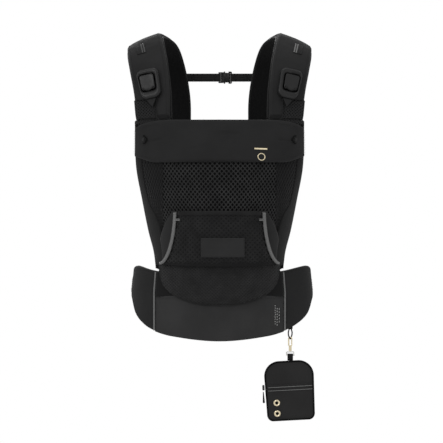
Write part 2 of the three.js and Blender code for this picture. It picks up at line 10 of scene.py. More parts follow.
import bmesh
import bpy
import numpy as np
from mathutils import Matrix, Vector

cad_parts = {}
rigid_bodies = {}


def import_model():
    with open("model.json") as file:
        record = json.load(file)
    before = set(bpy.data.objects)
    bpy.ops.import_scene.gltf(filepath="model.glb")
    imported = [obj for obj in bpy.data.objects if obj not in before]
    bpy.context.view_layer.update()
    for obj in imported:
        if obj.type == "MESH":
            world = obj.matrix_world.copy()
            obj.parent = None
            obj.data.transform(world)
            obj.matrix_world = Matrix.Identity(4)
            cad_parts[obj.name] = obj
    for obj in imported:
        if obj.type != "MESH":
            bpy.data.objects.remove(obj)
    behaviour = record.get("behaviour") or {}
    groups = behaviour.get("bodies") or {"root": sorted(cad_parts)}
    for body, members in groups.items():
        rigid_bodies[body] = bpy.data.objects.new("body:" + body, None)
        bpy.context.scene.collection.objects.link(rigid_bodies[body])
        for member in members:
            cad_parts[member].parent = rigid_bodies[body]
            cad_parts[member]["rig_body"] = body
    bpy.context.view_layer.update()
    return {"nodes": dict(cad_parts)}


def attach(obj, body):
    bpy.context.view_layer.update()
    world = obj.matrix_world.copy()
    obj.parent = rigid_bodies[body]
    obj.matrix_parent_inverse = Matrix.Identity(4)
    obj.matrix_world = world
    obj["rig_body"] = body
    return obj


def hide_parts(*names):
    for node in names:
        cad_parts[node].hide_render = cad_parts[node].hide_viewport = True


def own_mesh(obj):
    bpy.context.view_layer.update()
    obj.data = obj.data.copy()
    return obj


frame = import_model()
MM = 0.001
UV_UNIT = 100  # millimetres of cloth to one unit of UV
SIDES = ((1, "right"), (-1, "left"))

# Driving sizes, as in the CAD model.
WAIST_A, WAIST_B, WAIST_TOP = 199, 138, 158
WING_START, WING_END, WING_FLARE = 47.6, 112, 11
WEBBING_Z, WAIST_WEBBING = 126, 38
HOUSING_ANGLE, INSERT_ANGLE, WEBBING_START = 168.4, 173.3, 96
PANEL_BOTTOM, PANEL_TOP, PANEL_WRAP = 168, 494, math.radians(80)
SEAT_LOW, SEAT_TOP, SEAT_HALF = 81, PANEL_BOTTOM + 4, 136
POCKET_LOW, POCKET_TOP, POCKET_HALF, POCKET_FLARE = 173, 291, 87, 36
STRAP_WIDTH, STRAP_THICK, LINING_THICK = 84, 15, 4
FLAP_LOW, FLAP_TOP = 403, 498
POUCH_WIDTH, POUCH_HEIGHT, POUCH_DEPTH, POUCH_TILT = 112, 135, 26, math.radians(3)
PANEL_EDGE_Z = 278


# ------------------------------------------------------------------ curves and surfaces


def profile(pairs):
    """A smooth curve through (at, value) pairs, level beyond its ends."""
    xs, ys = np.array(pairs, float).T
    last = len(xs) - 1
    before = np.maximum(np.arange(last + 1) - 1, 0)
    after = np.minimum(np.arange(last + 1) + 1, last)
    slopes = (ys[after] - ys[before]) / (xs[after] - xs[before])

    def value(at):
        at = np.clip(np.asarray(at, float), xs[0], xs[-1])
        i = np.clip(np.searchsorted(xs, at, side="right") - 1, 0, last - 1)
        step = xs[i + 1] - xs[i]
        t = (at - xs[i]) / step
        rise = t * t * (3 - 2 * t)
        lead = t * (1 - t) ** 2 * step * slopes[i]
        trail = t * t * (t - 1) * step * slopes[i + 1]
        return ys[i] * (1 - rise) + ys[i + 1] * rise + lead + trail

    return value


panel_half = profile([(168, 144), (204, 149), (250, 161), (320, 175), (395, 188), (498, 190)])
panel_front = profile([(168, -210), (215, -222), (290, -222), (400, -204), (498, -186)])
panel_edge = profile([(168, -70), (250, -50), (320, -52), (400, -88), (498, -130)])
waist_low = profile([(-33, 11), (0, 0), (33, 11), (50, 24), (60, 36), (72, 57), (84, 90), (WING_END, 103)])
waist_high = profile([(0, WAIST_TOP), (44, WAIST_TOP), (74, 170), (90, 168), (WING_END, 148)])
wing_flare = profile([(WING_START, 0), (58, 2.5), (76, WING_FLARE), (100, WING_FLARE), (130, 3), (155, 0)])
side_inner = profile([(168, 0.7), (250, 0.66), (285, 0.7), (312, 0.79), (396, 0.81)])
facing_reach = profile([(171, 20), (230, 33), (265, 27), (300, 8)])
flap_low = profile([(0, FLAP_LOW), (136, FLAP_LOW), (152, 405), (186, 418)])
flap_high = profile([(0, FLAP_TOP), (122, FLAP_TOP), (150, 495), (165, 492), (178, 486), (190, 477)])


def pair(u, v):
    """Both numbers as float arrays of one shape."""
    return np.broadcast_arrays(np.asarray(u, float), np.asarray(v, float))


def run_along(path):
    """How far along a path each of its points is."""
    return np.r_[0, np.cumsum(np.linalg.norm(np.diff(path, axis=0), axis=1))]


def on_line(line, share):
    """Points of an evenly stepped line at shares of its length."""
    at = np.linspace(0, 1, len(line))
    return np.stack([np.interp(share, at, line[:, k]) for k in range(3)], -1)


def panel_point(x, z):
    """The panel's outer surface at x and height z."""
    wrap, flat = math.sin(PANEL_WRAP), math.cos(PANEL_WRAP)
    x, z = pair(x, z)
    lean = np.sqrt(np.maximum(1 - (wrap * x / panel_half(z)) ** 2, 0))
    edge = panel_edge(z)
    y = edge - (edge - panel_front(z)) * (lean - flat) / (1 - flat)
    return np.stack([x, y, z], -1)


def panel_x(u, z):
    """x of the panel at u from -1 to 1, spread evenly along its curve."""
    return panel_half(z) * np.sin(np.asarray(u) * PANEL_WRAP) / math.sin(PANEL_WRAP)


def panel_at(u, z):
    """The panel's outer surface at u from -1 to 1 across and height z."""
    return panel_point(panel_x(u, z), z)


def waist_point(angle, z):
    """The waistband's outer surface, angle in degrees from the front, positive to the right."""
    angle, z = pair(angle, z)
    lean = 1 - 0.03 * np.maximum((z - 110) / 60, 0)
    turn = np.radians(angle)
    across = WAIST_A * lean + wing_flare(angle)
    return np.stack([across * np.sin(turn), -WAIST_B * lean * np.cos(turn), z], -1)


def one_side(side, place):
    """A waistband surface for one side, given as if it were on the right."""
    def given(angle, v):
        return place(side * angle, v) * (side, 1, 1)
    return given


def waist_angle(x):
    """The waistband's angle at x, in degrees from the front."""
    return math.degrees(math.asin(x / WAIST_A))


def seat_foot(u):
    """Height of the seat's rounded foot."""
    drop = np.maximum(1 - np.abs(u) ** 2.4, 0) ** (1 / 2.2)
    return SEAT_TOP - 10 - (SEAT_TOP - 10 - SEAT_LOW) * drop


def seat_point(u, v):
    """The seat's bulge: u from -1 to 1 across, v from 0 at its foot to 1 under the panel."""
    u, v = pair(u, v)
    x = SEAT_HALF * u
    low = seat_foot(u)
    z = low + (SEAT_TOP - low) * v
    foot = waist_point(np.degrees(np.arcsin(x / WAIST_A)), low)[..., 1] - 6
    head = panel_point(x, PANEL_BOTTOM)[..., 1]
    bulge = np.sin(np.clip(v, 0, 1) * math.pi / 2) ** 0.75
    return np.stack([x, foot + (head - foot) * bulge, z], -1)


STRAP_LINE = np.array([
    (145, -144, 497), (150, -131, 560), (159, -108, 618), (166, -60, 657), (165, 0, 671),
    (139, 52, 658), (124, 96, 622), (112, 106, 560), (110, 107, 500), (114, 98, 400),
], float)
strap_turn = profile([(0, 0), (0.15, 4), (0.4, 24), (0.55, 18), (0.78, 2), (1, 0)])
strap_yaw = profile([(0, 27), (0.14, 14), (0.3, 0), (1, 0)])


def smooth_line(points, steps):
    """A uniform Catmull-Rom curve through the points, resampled to even steps."""
    padded = np.vstack([2 * points[0] - points[1], points, 2 * points[-1] - points[-2]])
    found = []
    for i in range(1, len(padded) - 2):
        p0, p1, p2, p3 = padded[i - 1 : i + 3]
        for t in np.linspace(0, 1, 40, endpoint=False):
            found.append(0.5 * (2 * p1 + (p2 - p0) * t + (2 * p0 - 5 * p1 + 4 * p2 - p3) * t * t
                                + (3 * p1 - p0 - 3 * p2 + p3) * t ** 3))
    found = np.array(found + [points[-1]])
    along = run_along(found)
    at = np.linspace(0, along[-1], steps)
    return np.stack([np.interp(at, along, found[:, k]) for k in range(3)], -1), along[-1]


STRAP_PATH, STRAP_LENGTH = smooth_line(STRAP_LINE, 400)


def strap_point(u, v):
    """A right strap's inner face: u from -1 at the neck side to 1, v from 0 at the panel to 1."""
    u, v = pair(u, v)
    middle = on_line(STRAP_PATH, v)
    turn, yaw = np.radians(strap_turn(v)), np.radians(strap_yaw(v))
    across = np.stack([np.cos(turn) * np.cos(yaw), np.sin(yaw), -np.sin(turn)], -1)
    return middle + across * (u * STRAP_WIDTH / 2)[..., None]


def stand_off(place, p, q, offset, eps=1e-3):
    """Points of a surface, moved by offset along its outward normal."""
    across = place(p + eps, q) - place(p - eps, q)
    along = place(p, q + eps) - place(p, q - eps)
    normal = np.cross(across, along)
    length = np.maximum(np.linalg.norm(normal, axis=-1, keepdims=True), 1e-12)
    return place(p, q) + normal / length * np.asarray(offset)[..., None]


# ------------------------------------------------------------------ materials


class Nodes:
    """A material's node tree, with short calls for the nodes used here."""

    def __init__(self, name, color, roughness, metallic=0.0):
        self.material = bpy.data.materials.new(name)
        self.material.use_nodes = True
        self.tree = self.material.node_tree
        self.shader = self.tree.nodes["Principled BSDF"]
        self.set("Base Color", (*color, 1))
        self.set("Roughness", roughness)
        self.set("Metallic", metallic)

    def set(self, socket, value):
        self.shader.inputs[socket].default_value = value

    def node(self, kind, **inputs):
        node = self.tree.nodes.new(kind)
        for key, value in inputs.items():
            node.inputs[key.replace("_", " ")].default_value = value
        return node

    def link(self, source, target):
        self.tree.links.new(source, target)

    def coordinates(self, output="Object"):
        return self.tree.nodes.new("ShaderNodeTexCoord").outputs[output]

    def noise(self, scale, detail=3.0):
        node = self.node("ShaderNodeTexNoise", Scale=scale, Detail=detail)
        self.link(self.coordinates(), node.inputs["Vector"])
        return node.outputs["Fac"]

    def wave(self, direction, scale, source="UV", distortion=0.4):
        node = self.node("ShaderNodeTexWave", Scale=scale, Distortion=distortion)
        node.bands_direction = direction
        self.link(self.coordinates(source), node.inputs["Vector"])
        return node.outputs["Fac"]

    def math(self, operation, a, b):
        node = self.tree.nodes.new("ShaderNodeMath")
        node.operation = operation
        for socket, value in zip(node.inputs, (a, b)):
            if isinstance(value, (int, float)):
                socket.default_value = value
            else:
                self.link(value, socket)
        return node.outputs[0]

    def ramp(self, fac, low, high, start=0.3, end=0.7):
        node = self.tree.nodes.new("ShaderNodeValToRGB")
        first, second = node.color_ramp.elements
        first.position, first.color = start, (*low, 1)
        second.position, second.color = end, (*high, 1)
        self.link(fac, node.inputs["Fac"])
        return node.outputs["Color"]

    def bump(self, height, strength, distance):
        node = self.node("ShaderNodeBump", Strength=strength, Distance=distance)
        self.link(height, node.inputs["Height"])
        self.link(node.outputs["Normal"], self.shader.inputs["Normal"])

    def tint(self, color):
        self.link(color, self.shader.inputs["Base Color"])

    def cloth(self, sheen=0.03):
        """The finish that every fabric shares."""
        self.set("Specular IOR Level", CLOTH_SPECULAR)
        self.set("Sheen Weight", sheen)
        return self.material


def scaled(color, factor):
    """A colour made darker or lighter."""
    return tuple(c * factor for c in color)


def bands(pitch):
    """A wave node's Scale in UV, which repeats about every two pitches, as a weave does."""
    return UV_UNIT / pitch / 6.28


HOLE_PITCH = 3.2
CLOTH_SPECULAR = 0.12
PLASTIC_SPECULAR = 0.3


def woven(name, color, pitch=0.9, sheen=0.03):
    """Plain-weave cloth: two thread directions in UV, which is in decimetres of cloth."""
    made = Nodes(name, color, 0.8)
    warp = made.wave("X", bands(pitch))
    weft = made.wave("Y", bands(pitch))
    weave = made.math("MULTIPLY", warp, weft)
    height = made.math("ADD", weave, made.math("MULTIPLY", made.noise(60), 0.8))
    made.bump(height, 0.35, 0.0004)
    # Painted light and shade: the tone is mostly random, with the weave's raised crossings a little lighter
    # and its hollows darker.
    tone = made.math("ADD", made.math("MULTIPLY", weave, 0.3), made.math("MULTIPLY", made.noise(14), 0.7))
    made.tint(made.ramp(tone, scaled(color, 0.82), scaled(color, 1.2)))
    made.set("Sheen Roughness", 0.5)
    return made.cloth(sheen)


def knitted(name, color):
    """The strands of an open mesh: fine loops."""
    made = Nodes(name, color, 0.85)
    loops = made.math("MULTIPLY", made.wave("DIAGONAL", 40), made.noise(900))
    made.bump(loops, 0.5, 0.0004)
    made.tint(made.ramp(made.noise(35), scaled(color, 0.75), scaled(color, 1.3)))
    return made.cloth()


def spacer(name, color):
    """Spacer mesh: a close pattern of small round holes, painted darker inside as shade."""
    made = Nodes(name, color, 0.9)
    cells = made.node("ShaderNodeTexVoronoi", Scale=UV_UNIT / HOLE_PITCH, Randomness=0.08)
    made.link(made.coordinates("UV"), cells.inputs["Vector"])
    hole = cells.outputs["Distance"]
    made.bump(hole, 0.7, -0.0008)
    # Painted shade: the tone drops to about a third towards each hole's middle.
    made.tint(made.ramp(hole, scaled(color, 0.35), color, 0.18, 0.36))
    return made.cloth(0.02)


def ribbed(name, color, pitch=1.6):
    """Webbing: ribs across its length, which lies along U."""
    made = Nodes(name, color, 0.6)
    ribs = made.wave("X", bands(pitch), distortion=0.2)
    rows = made.wave("Y", bands(pitch * 1.4), distortion=0.6)
    height = made.math("ADD", ribs, made.math("MULTIPLY", rows, 0.5))
    made.bump(height, 0.6, 0.0005)
    # Painted shade and highlight: the tone follows the rib height, darker in the grooves and lighter on the
    # ribs.
    made.tint(made.ramp(height, scaled(color, 0.7), scaled(color, 1.3), 0.2, 1.2))
    return made.cloth()


def moulded(name, color, roughness=0.32):
    """Moulded nylon with a fine spark-eroded grain and worn, slightly brighter patches."""
    made = Nodes(name, color, roughness)
    made.bump(made.noise(2200, 2), 0.12, 0.0002)
    made.tint(made.ramp(made.noise(25), scaled(color, 0.85), scaled(color, 1.25)))
    rough = made.ramp(made.noise(70), (roughness * 0.8,) * 3, (roughness * 1.25,) * 3)
    made.link(rough, made.shader.inputs["Roughness"])
    made.set("Specular IOR Level", PLASTIC_SPECULAR)
    made.set("Coat Weight", 0.06)
    made.set("Coat Roughness", 0.25)
    return made.material


def reflective(name, color):
    """Woven tape with glass beads: fine grain with painted glints on the beads, and a soft metallic sheen.
    """
    made = Nodes(name, color, 0.45, 0.25)
    beads = made.noise(1800, 1)
    made.bump(beads, 0.3, 0.0003)
    # The tone follows the beads' grain; its brightest specks are painted glints.
    made.tint(made.ramp(beads, scaled(color, 0.7), scaled(color, 1.4), 0.35, 0.65))
    return made.material


def metal(name, color, roughness):
    """Plated metal with faint handling marks."""
    made = Nodes(name, color, roughness, 1.0)
    made.bump(made.noise(500, 4), 0.06, 0.0002)
    rough = made.ramp(made.noise(90), (roughness * 0.7,) * 3, (roughness * 1.5,) * 3)
    made.link(rough, made.shader.inputs["Roughness"])
    made.tint(made.ramp(made.noise(60), scaled(color, 0.88), scaled(color, 1.05)))
    return made.material


def foamed(name, color):
    """Foam: a fine, rough grain."""
    made = Nodes(name, color, 0.95)
    made.bump(made.noise(1500, 2), 0.5, 0.0005)
    made.tint(made.ramp(made.noise(300), scaled(color, 0.8), scaled(color, 1.2)))
    return made.material


CLOTH = woven("smooth_cloth", (0.019, 0.019, 0.0193))
CLOTH_LIGHT = woven("waistband_cloth", (0.0335, 0.0335, 0.0338))
CLOTH_POUCH = woven("pouch_cloth", (0.0235, 0.0232, 0.0232))
# Painted shade: a darker copy of the smooth cloth for the side panels, which face away from the light.
CLOTH_SIDE_SHADED = woven("side_panel_shaded_cloth", (0.0066, 0.0066, 0.0067))
# Dark cloth for the waistband's yoke and the strap anchors, and painted shade for the knit and cloth beside
# the open mesh.
CLOTH_DARK_AND_SIDE_SHADE = woven("side_cloth", (0.0084, 0.0084, 0.0086))
# Near black: the real backing under the mesh, bindings and snap loops, and painted shade in the pouch's
# piping and eyelet holes.
BACKING_AND_SHADE = woven("mesh_backing_and_shade", (0.0030, 0.0030, 0.0031), pitch=0.6, sheen=0.0)
POCKET_BACKING = woven("pocket_backing_cloth", (0.0108, 0.0108, 0.011), pitch=0.6, sheen=0.0)
MESH = knitted("mesh_knit", (0.026, 0.026, 0.0263))
MESH_DARK = knitted("pocket_mesh_knit", (0.0138, 0.0138, 0.014))
SEAT_CLOTH = woven("seat_cloth", (0.0145, 0.0145, 0.0147), pitch=1.2)
SEAT_MESH = knitted("seat_mesh_knit", (0.0185, 0.0185, 0.0187))
LINING = spacer("lining_mesh", (0.0065, 0.0065, 0.0067))
WEBBING = ribbed("webbing", (0.0145, 0.0145, 0.0147))
WEBBING_DARK = ribbed("webbing_dark", (0.009, 0.009, 0.0092))
WEBBING_BLACK = ribbed("webbing_black", (0.003, 0.003, 0.0031))
BINDING = ribbed("binding_tape", (0.0115, 0.0115, 0.0117), pitch=1.0)
PLASTIC = moulded("moulded_black", (0.0085, 0.0085, 0.0087), 0.42)
PLASTIC_PALE = moulded("zip_slider_grey", (0.032, 0.032, 0.033))
# Near-black plastic: the zip's coil, and painted shade in the buckles' slot and gap.
PLASTIC_DARK_AND_GAP_SHADE = moulded("moulded_dark_and_gap_shade", (0.004, 0.004, 0.0041), 0.6)
TRIM = reflective("reflective_tape", (0.13, 0.13, 0.129))
# Painted shade: a dimmer copy of the reflective tape, for the left tab's stripes.
TRIM_SHADED = reflective("shaded_reflective_tape", (0.045, 0.045, 0.045))
THREAD = ribbed("thread", (0.017, 0.017, 0.0172), pitch=0.4)
THREAD_PALE = ribbed("pale_thread", (0.22, 0.22, 0.218), pitch=0.4)
PATCH = woven("patch_cloth", (0.026, 0.026, 0.0263), pitch=1.3)
PRINT = ribbed("pale_print", (0.6, 0.6, 0.59), pitch=0.5)
GOLD = metal("pale_gold", (0.86, 0.75, 0.52), 0.25)
SILVER = metal("satin_silver", (0.88, 0.87, 0.84), 0.22)
FOAM = foamed("foam", (0.05, 0.05, 0.05))


# ------------------------------------------------------------------ making pieces

MERGE_ANGLE, BEVEL_ANGLE, SHARP_ANGLE = 2, 28, 40


def add_object(name, data):
    """An object of the scene, made from a mesh, a camera or a lamp."""
    obj = bpy.data.objects.new(name, data)
    bpy.context.scene.collection.objects.link(obj)
    return obj


def piece(name, points, faces, material, body, uv, replaces=(), slot=None):
    """A mesh object from points in millimetres, riding on a body."""
    mesh = bpy.data.meshes.new(name)
    mesh.from_pydata((np.asarray(points, float) * MM).tolist(), [], [list(f) for f in faces])
    mesh.validate()
    layer = mesh.uv_layers.new(name="UVMap")
    loops = np.zeros(len(mesh.loops), np.int32)
    mesh.loops.foreach_get("vertex_index", loops)
    layer.data.foreach_set("uv", (np.asarray(uv, float)[loops] / UV_UNIT).ravel())
    mesh.materials.append(material)
    mesh.shade_smooth()
    obj = add_object(name, mesh)
    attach(obj, body)
    if replaces:
        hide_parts(*([replaces] if isinstance(replaces, str) else replaces))
    return obj


def cosine_steps(count, start=-1.0, end=1.0, strength=0.6):
    """Steps from start to end that crowd towards both ends."""
    even = np.linspace(0, 1, count + 1)
    eased = (1 - np.cos(even * math.pi)) / 2
    return start + (end - start) * (even * (1 - strength) + eased * strength)


def grid_faces(rows, columns):
    """Quads of a grid of rows by columns points, numbered along each row."""
    faces = []
    for j in range(rows - 1):
        for i in range(columns - 1):
            a = j * columns + i
            faces.append((a, a + 1, a + columns + 1, a + columns))
    return faces


def edge_distance(points):
    """For each grid point, how far along the surface the nearest border is."""
    across = np.linalg.norm(np.diff(points, axis=1), axis=2)
    along = np.linalg.norm(np.diff(points, axis=0), axis=2)
    left = np.concatenate([np.zeros((len(points), 1)), np.cumsum(across, 1)], 1)
    down = np.concatenate([np.zeros((1, points.shape[1])), np.cumsum(along, 0)], 0)
    sides = np.minimum(left, left[:, -1:] - left)
    ends = np.minimum(down, down[-1:] - down)
    return sides, ends, left, down


def padded_sheet(name, place, low, high, us, vs, material, body, edge=6.0, crown=0.0, relief=None,
                 mirror=False, **options):
    """A closed, soft-edged sheet over a surface, from offset low to high.

    It rounds off within edge of its border, crowns by crown in its middle, and relief(u, v) adds to
    the outer face's offset.
    """
    u, v = np.meshgrid(us, vs)
    base = place(u, v)
    sides, ends, left, down = edge_distance(base)
    near = np.minimum(np.minimum(sides, ends) / edge, 1)
    round_off = np.sqrt(np.maximum(1 - (1 - near) ** 2, 0))
    span = np.maximum(sides.max(1, keepdims=True), 1e-6)
    swell = crown * np.sin(np.minimum(sides / span, 1) * math.pi / 2)
    middle, half = (low + high) / 2, (high - low) / 2
    outer = middle + (half + swell) * round_off
    if relief is not None:
        outer = outer + relief(u, v) * round_off
    inner = middle - half * round_off
    top = stand_off(place, u, v, outer).reshape(-1, 3)
    bottom = stand_off(place, u, v, inner).reshape(-1, 3)
    rows, columns = u.shape
    ids = np.arange(rows * columns).reshape(rows, columns)
    under = ids + rows * columns
    for line in (np.s_[0, :], np.s_[-1, :], np.s_[:, 0], np.s_[:, -1]):
        under[line] = ids[line]
    faces = grid_faces(rows, columns)
    flat_under = under.ravel()
    faces = faces + [tuple(int(flat_under[k]) for k in reversed(f)) for f in faces]
    points = np.vstack([top, bottom])
    cloth = np.stack([left, down], -1).reshape(-1, 2)
    uv = np.vstack([cloth, cloth])
    return compact(name, points, faces, material, body, uv, mirror, **options)


def compact(name, points, faces, material, body, uv, mirror, **options):
    """Drops unused points, mirrors if asked, and makes the piece."""
    used = np.zeros(len(points), bool)
    for face in faces:
        used[list(face)] = True
    number = np.cumsum(used) - 1
    faces = [tuple(int(number[k]) for k in face) for face in faces]
    points = np.array(points)[used]
    if mirror:
        points = points * (-1, 1, 1)
        faces = [tuple(reversed(face)) for face in faces]
    return piece(name, points, faces, material, body, np.array(uv)[used], **options)


def lattice(name, place, us, vs, pitch, hole, top, bottom, inside, material, body, mirror=False,
            scale=(1, 1), **options):
    """An open mesh of diamond cells over a surface, with real holes and rounded strands.

    pitch is a cell's width and height in the surface's own numbers, scale turns them to millimetres,
    hole is the hole's share of its cell, and inside(u, v) says which cells are kept.
    """
    wide, tall = pitch
    corners = [(1, 0), (0.5, 0.5), (0, 1), (-0.5, 0.5), (-1, 0), (-0.5, -0.5), (0, -1), (0.5, -0.5)]
    keys, flat, raised = {}, [], []

    def vertex(u, v, lift):
        key = (round(u / wide * 8), round(v / tall * 8), lift)
        if lift and key in keys:
            return keys[key]
        keys[key] = len(flat)
        flat.append((u, v))
        raised.append(lift)
        return keys[key]

    faces = []
    for j in range(int((vs[1] - vs[0]) / tall * 2) + 1):
        centre_v = vs[0] + j * tall / 2
        shift = wide / 2 if j % 2 else 0
        for i in range(int((us[1] - us[0]) / wide) + 1):
            centre_u = us[0] + shift + i * wide
            if not inside(centre_u, centre_v):
                continue
            outer = [vertex(centre_u + a * wide / 2, centre_v + b * tall / 2, 1) for a, b in corners]
            inner = []
            for a, b in corners:
                full = hole * (1.0 if abs(a) == 0.5 else 0.82)
                inner.append(vertex(centre_u + a * wide / 2 * full, centre_v + b * tall / 2 * full, 0))
            for k in range(8):
                n = (k + 1) % 8
                faces.append((outer[k], outer[n], inner[n], inner[k]))
    u, v = np.array(flat).T
    lift = np.array(raised)
    drop = (top - bottom) * 0.45
    upper = stand_off(place, u, v, np.where(lift == 1, top, top - drop))
    lower = stand_off(place, u, v, np.full(len(u), float(bottom)))
    count = len(u)
    edges = {}
    for face in faces:
        for k in range(4):
            a, b = face[k], face[(k + 1) % 4]
            edges[(a, b)] = edges.get((a, b), 0) + 1
    walls = [(b, a, a + count, b + count) for a, b in edges if (b, a) not in edges]
    under = [tuple(k + count for k in reversed(face)) for face in faces]
    points = np.vstack([upper, lower])
    cloth = np.array(flat) * np.array(scale)
    everything = faces + under + walls
    return compact(name, points, everything, material, body, np.vstack([cloth, cloth]), mirror,
                   **options)


def frames_along(path):
    """Unit tangents and two steady cross directions along a path."""
    path = np.asarray(path, float)
    tangent = np.gradient(path, axis=0)
    tangent /= np.maximum(np.linalg.norm(tangent, axis=1, keepdims=True), 1e-9)
    side = np.cross(tangent[0], (0.13, 0.2, 0.97))
    sides = []
    for t in tangent:
        side = side - t * np.dot(side, t)
        side = side / np.linalg.norm(side)
        sides.append(side)
    sides = np.array(sides)
    return tangent, sides, np.cross(tangent, sides)


def cord_mesh(name, path, radius, material, body, sides=10, mirror=False, closed=False, **options):
    """A round tube along a path, with capped ends or closed on itself."""
    path = np.asarray(path, float)
    _, one, other = frames_along(path)
    turn = np.arange(sides) * 2 * math.pi / sides
    ring = one[:, None] * np.cos(turn)[None, :, None] + other[:, None] * np.sin(turn)[None, :, None]
    points = (path[:, None] + ring * radius).reshape(-1, 3)
    along = run_along(path)
    count = len(path)
    faces = []
    for j in range(count if closed else count - 1):
        n = (j + 1) % count
        for i in range(sides):
            k = (i + 1) % sides
            faces.append((j * sides + i, j * sides + k, n * sides + k, n * sides + i))
    if not closed:
        faces.append(tuple(reversed(range(sides))))
        faces.append(tuple(range((count - 1) * sides, count * sides)))
    uv = np.stack([np.repeat(along, sides), np.tile(turn * radius, count)], -1)
    return compact(name, points, faces, material, body, uv, mirror, **options)


def stitches(name, path, body, length=2.6, gap=1.4, width=0.45, material=THREAD):
    """A row of stitches along a path: each a small spindle."""
    path = np.asarray(path, float)
    along = run_along(path)
    points, faces = [], []
    for start in np.arange(gap, along[-1] - length, length + gap):
        ends = [np.array([np.interp(s, along, path[:, k]) for k in range(3)])
                for s in (start, start + length / 2, start + length)]
        forward = ends[2] - ends[0]
        forward /= np.linalg.norm(forward)
        side = np.cross(forward, (0.1, 0.9, 0.2))
        side /= np.linalg.norm(side)
        up = np.cross(forward, side)
        first = len(points)
        points += [ends[0], ends[2]]
        points += [ends[1] + width * d for d in (side, up, -side, -up)]
        for k in range(4):
            a, b = first + 2 + k, first + 2 + (k + 1) % 4
            faces += [(first, b, a), (first + 1, a, b)]
    uv = np.array(points)[:, [0, 2]]
    return compact(name, points, faces, material, body, uv, False)


def on_surface(place, us, vs, offset):
    """A path on a surface."""
    us, vs = pair(us, vs)
    return stand_off(place, us, vs, np.full(us.shape, float(offset)))


def rounded(node, material, width=0.8, segments=2):
    """A copy of a CAD node with its sharp edges rounded, standing for it."""
    source = frame["nodes"][node]
    mesh = source.data.copy()
    mesh.name = f"{node}_moulded"
    shaped = bmesh.new()
    shaped.from_mesh(mesh)
    bmesh.ops.remove_doubles(shaped, verts=shaped.verts, dist=1e-6)
    bmesh.ops.dissolve_limit(shaped, angle_limit=math.radians(MERGE_ANGLE), verts=shaped.verts,
                              edges=shaped.edges)
    shaped.to_mesh(mesh)
    shaped.free()
    mesh.materials.clear()
    mesh.materials.append(material)
    obj = add_object(mesh.name, mesh)
    bevel = obj.modifiers.new("edges", "BEVEL")
    bevel.width = width * MM
    bevel.segments = segments
    bevel.angle_limit = math.radians(BEVEL_ANGLE)
    bevel.limit_method = "ANGLE"
    bevel.harden_normals = True
    bpy.context.view_layer.objects.active = obj
    bpy.context.view_layer.update()
    evaluated = obj.evaluated_get(bpy.context.evaluated_depsgraph_get())
    final = bpy.data.meshes.new_from_object(evaluated)
    obj.modifiers.clear()
    obj.data = final
    obj.data.shade_smooth()
    obj.data.set_sharp_from_angle(angle=math.radians(SHARP_ANGLE))
    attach(obj, frame["nodes"][node]["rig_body"])
    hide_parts(node)
    return obj


# ------------------------------------------------------------------ filled fabric

SIM_STEP, SIM_FRAMES, SIM_PRESSURE = 6.0, 20, 4.0
# Each filled sheet: its width and height, the seam that holds it, and its highest point.
FILLS = {"flap": (371, 95, 7, 1.3), "strap": (STRAP_WIDTH, 640, 9, 1.8), "cover": (330, 145, 8, 2.2),
         "pouch": (POUCH_WIDTH, POUCH_HEIGHT, 9, 1.8)}
FILLED = {}


def filled_cloth(width, height, seam, cap):
    """A sewn sheet that the cloth solver fills, as a height in mm by its shares across and up.
    """
    columns, rows = int(width / SIM_STEP) + 1, int(height / SIM_STEP) + 1
    x, y = np.meshgrid(np.linspace(0, width, columns), np.linspace(0, height, rows))
    points = np.stack([x, y, np.zeros_like(x)], -1).reshape(-1, 3)
    mesh = bpy.data.meshes.new("filled")
    mesh.from_pydata((points * MM).tolist(), [], grid_faces(rows, columns))
    sheet = add_object("filled", mesh)
    scene = bpy.context.scene
    near = np.minimum(np.minimum(x, width - x), np.minimum(y, height - y)).ravel()
    sheet.vertex_groups.new(name="seam").add(np.flatnonzero(near < seam).tolist(), 1.0, "REPLACE")
    cloth = sheet.modifiers.new("filling", "CLOTH").settings
    cloth.quality = 6
    cloth.mass = 0.15
    cloth.tension_stiffness = cloth.compression_stiffness = 12
    cloth.shear_stiffness = 4
    cloth.bending_stiffness = 0.3
    cloth.shrink_min = -0.04
    cloth.vertex_group_mass = "seam"
    cloth.use_pressure = True
    cloth.uniform_pressure_force = SIM_PRESSURE
    cloth.effector_weights.gravity = 0
    for frame_number in range(1, SIM_FRAMES + 1):
        scene.frame_set(frame_number)
    moved = sheet.evaluated_get(bpy.context.evaluated_depsgraph_get()).data
    found = np.empty(len(moved.vertices) * 3)
    moved.vertices.foreach_get("co", found)
    rise = np.abs(found.reshape(rows, columns, 3)[..., 2]) / MM
    rise *= min(1.0, cap / max(rise.max(), 1e-6))
    bpy.data.objects.remove(sheet)
    bpy.data.meshes.remove(mesh)
    scene.frame_set(1)

    def height_at(across, up):
        across, up = pair(across, up)
        i, j = np.clip(across, 0, 1) * (columns - 1), np.clip(up, 0, 1) * (rows - 1)
        left, low = np.minimum(i.astype(int), columns - 2), np.minimum(j.astype(int), rows - 2)
        i, j = i - left, j - low
        bottom = rise[low, left] * (1 - i) + rise[low, left + 1] * i
        top = rise[low + 1, left] * (1 - i) + rise[low + 1, left + 1] * i
        return bottom * (1 - j) + top * j

    return height_at


def fill_fabric():
    """Fills the four soft covers once, before anything is made from them."""
    for name, sizes in FILLS.items():
        FILLED[name] = filled_cloth(*sizes)


# ------------------------------------------------------------------ camera, light, stage

# The view is VIEW_WIDTH wide at VIEW_Y, which the camera is VIEW_AWAY in front of.
VIEW_X, VIEW_Y, VIEW_Z, VIEW_WIDTH, VIEW_AWAY = 4.5, -140, 270, 997, 12000
SENSOR = 36
ROOM_RADIUS = 20
LIT_POINT = (0, -0.1, 0.3)
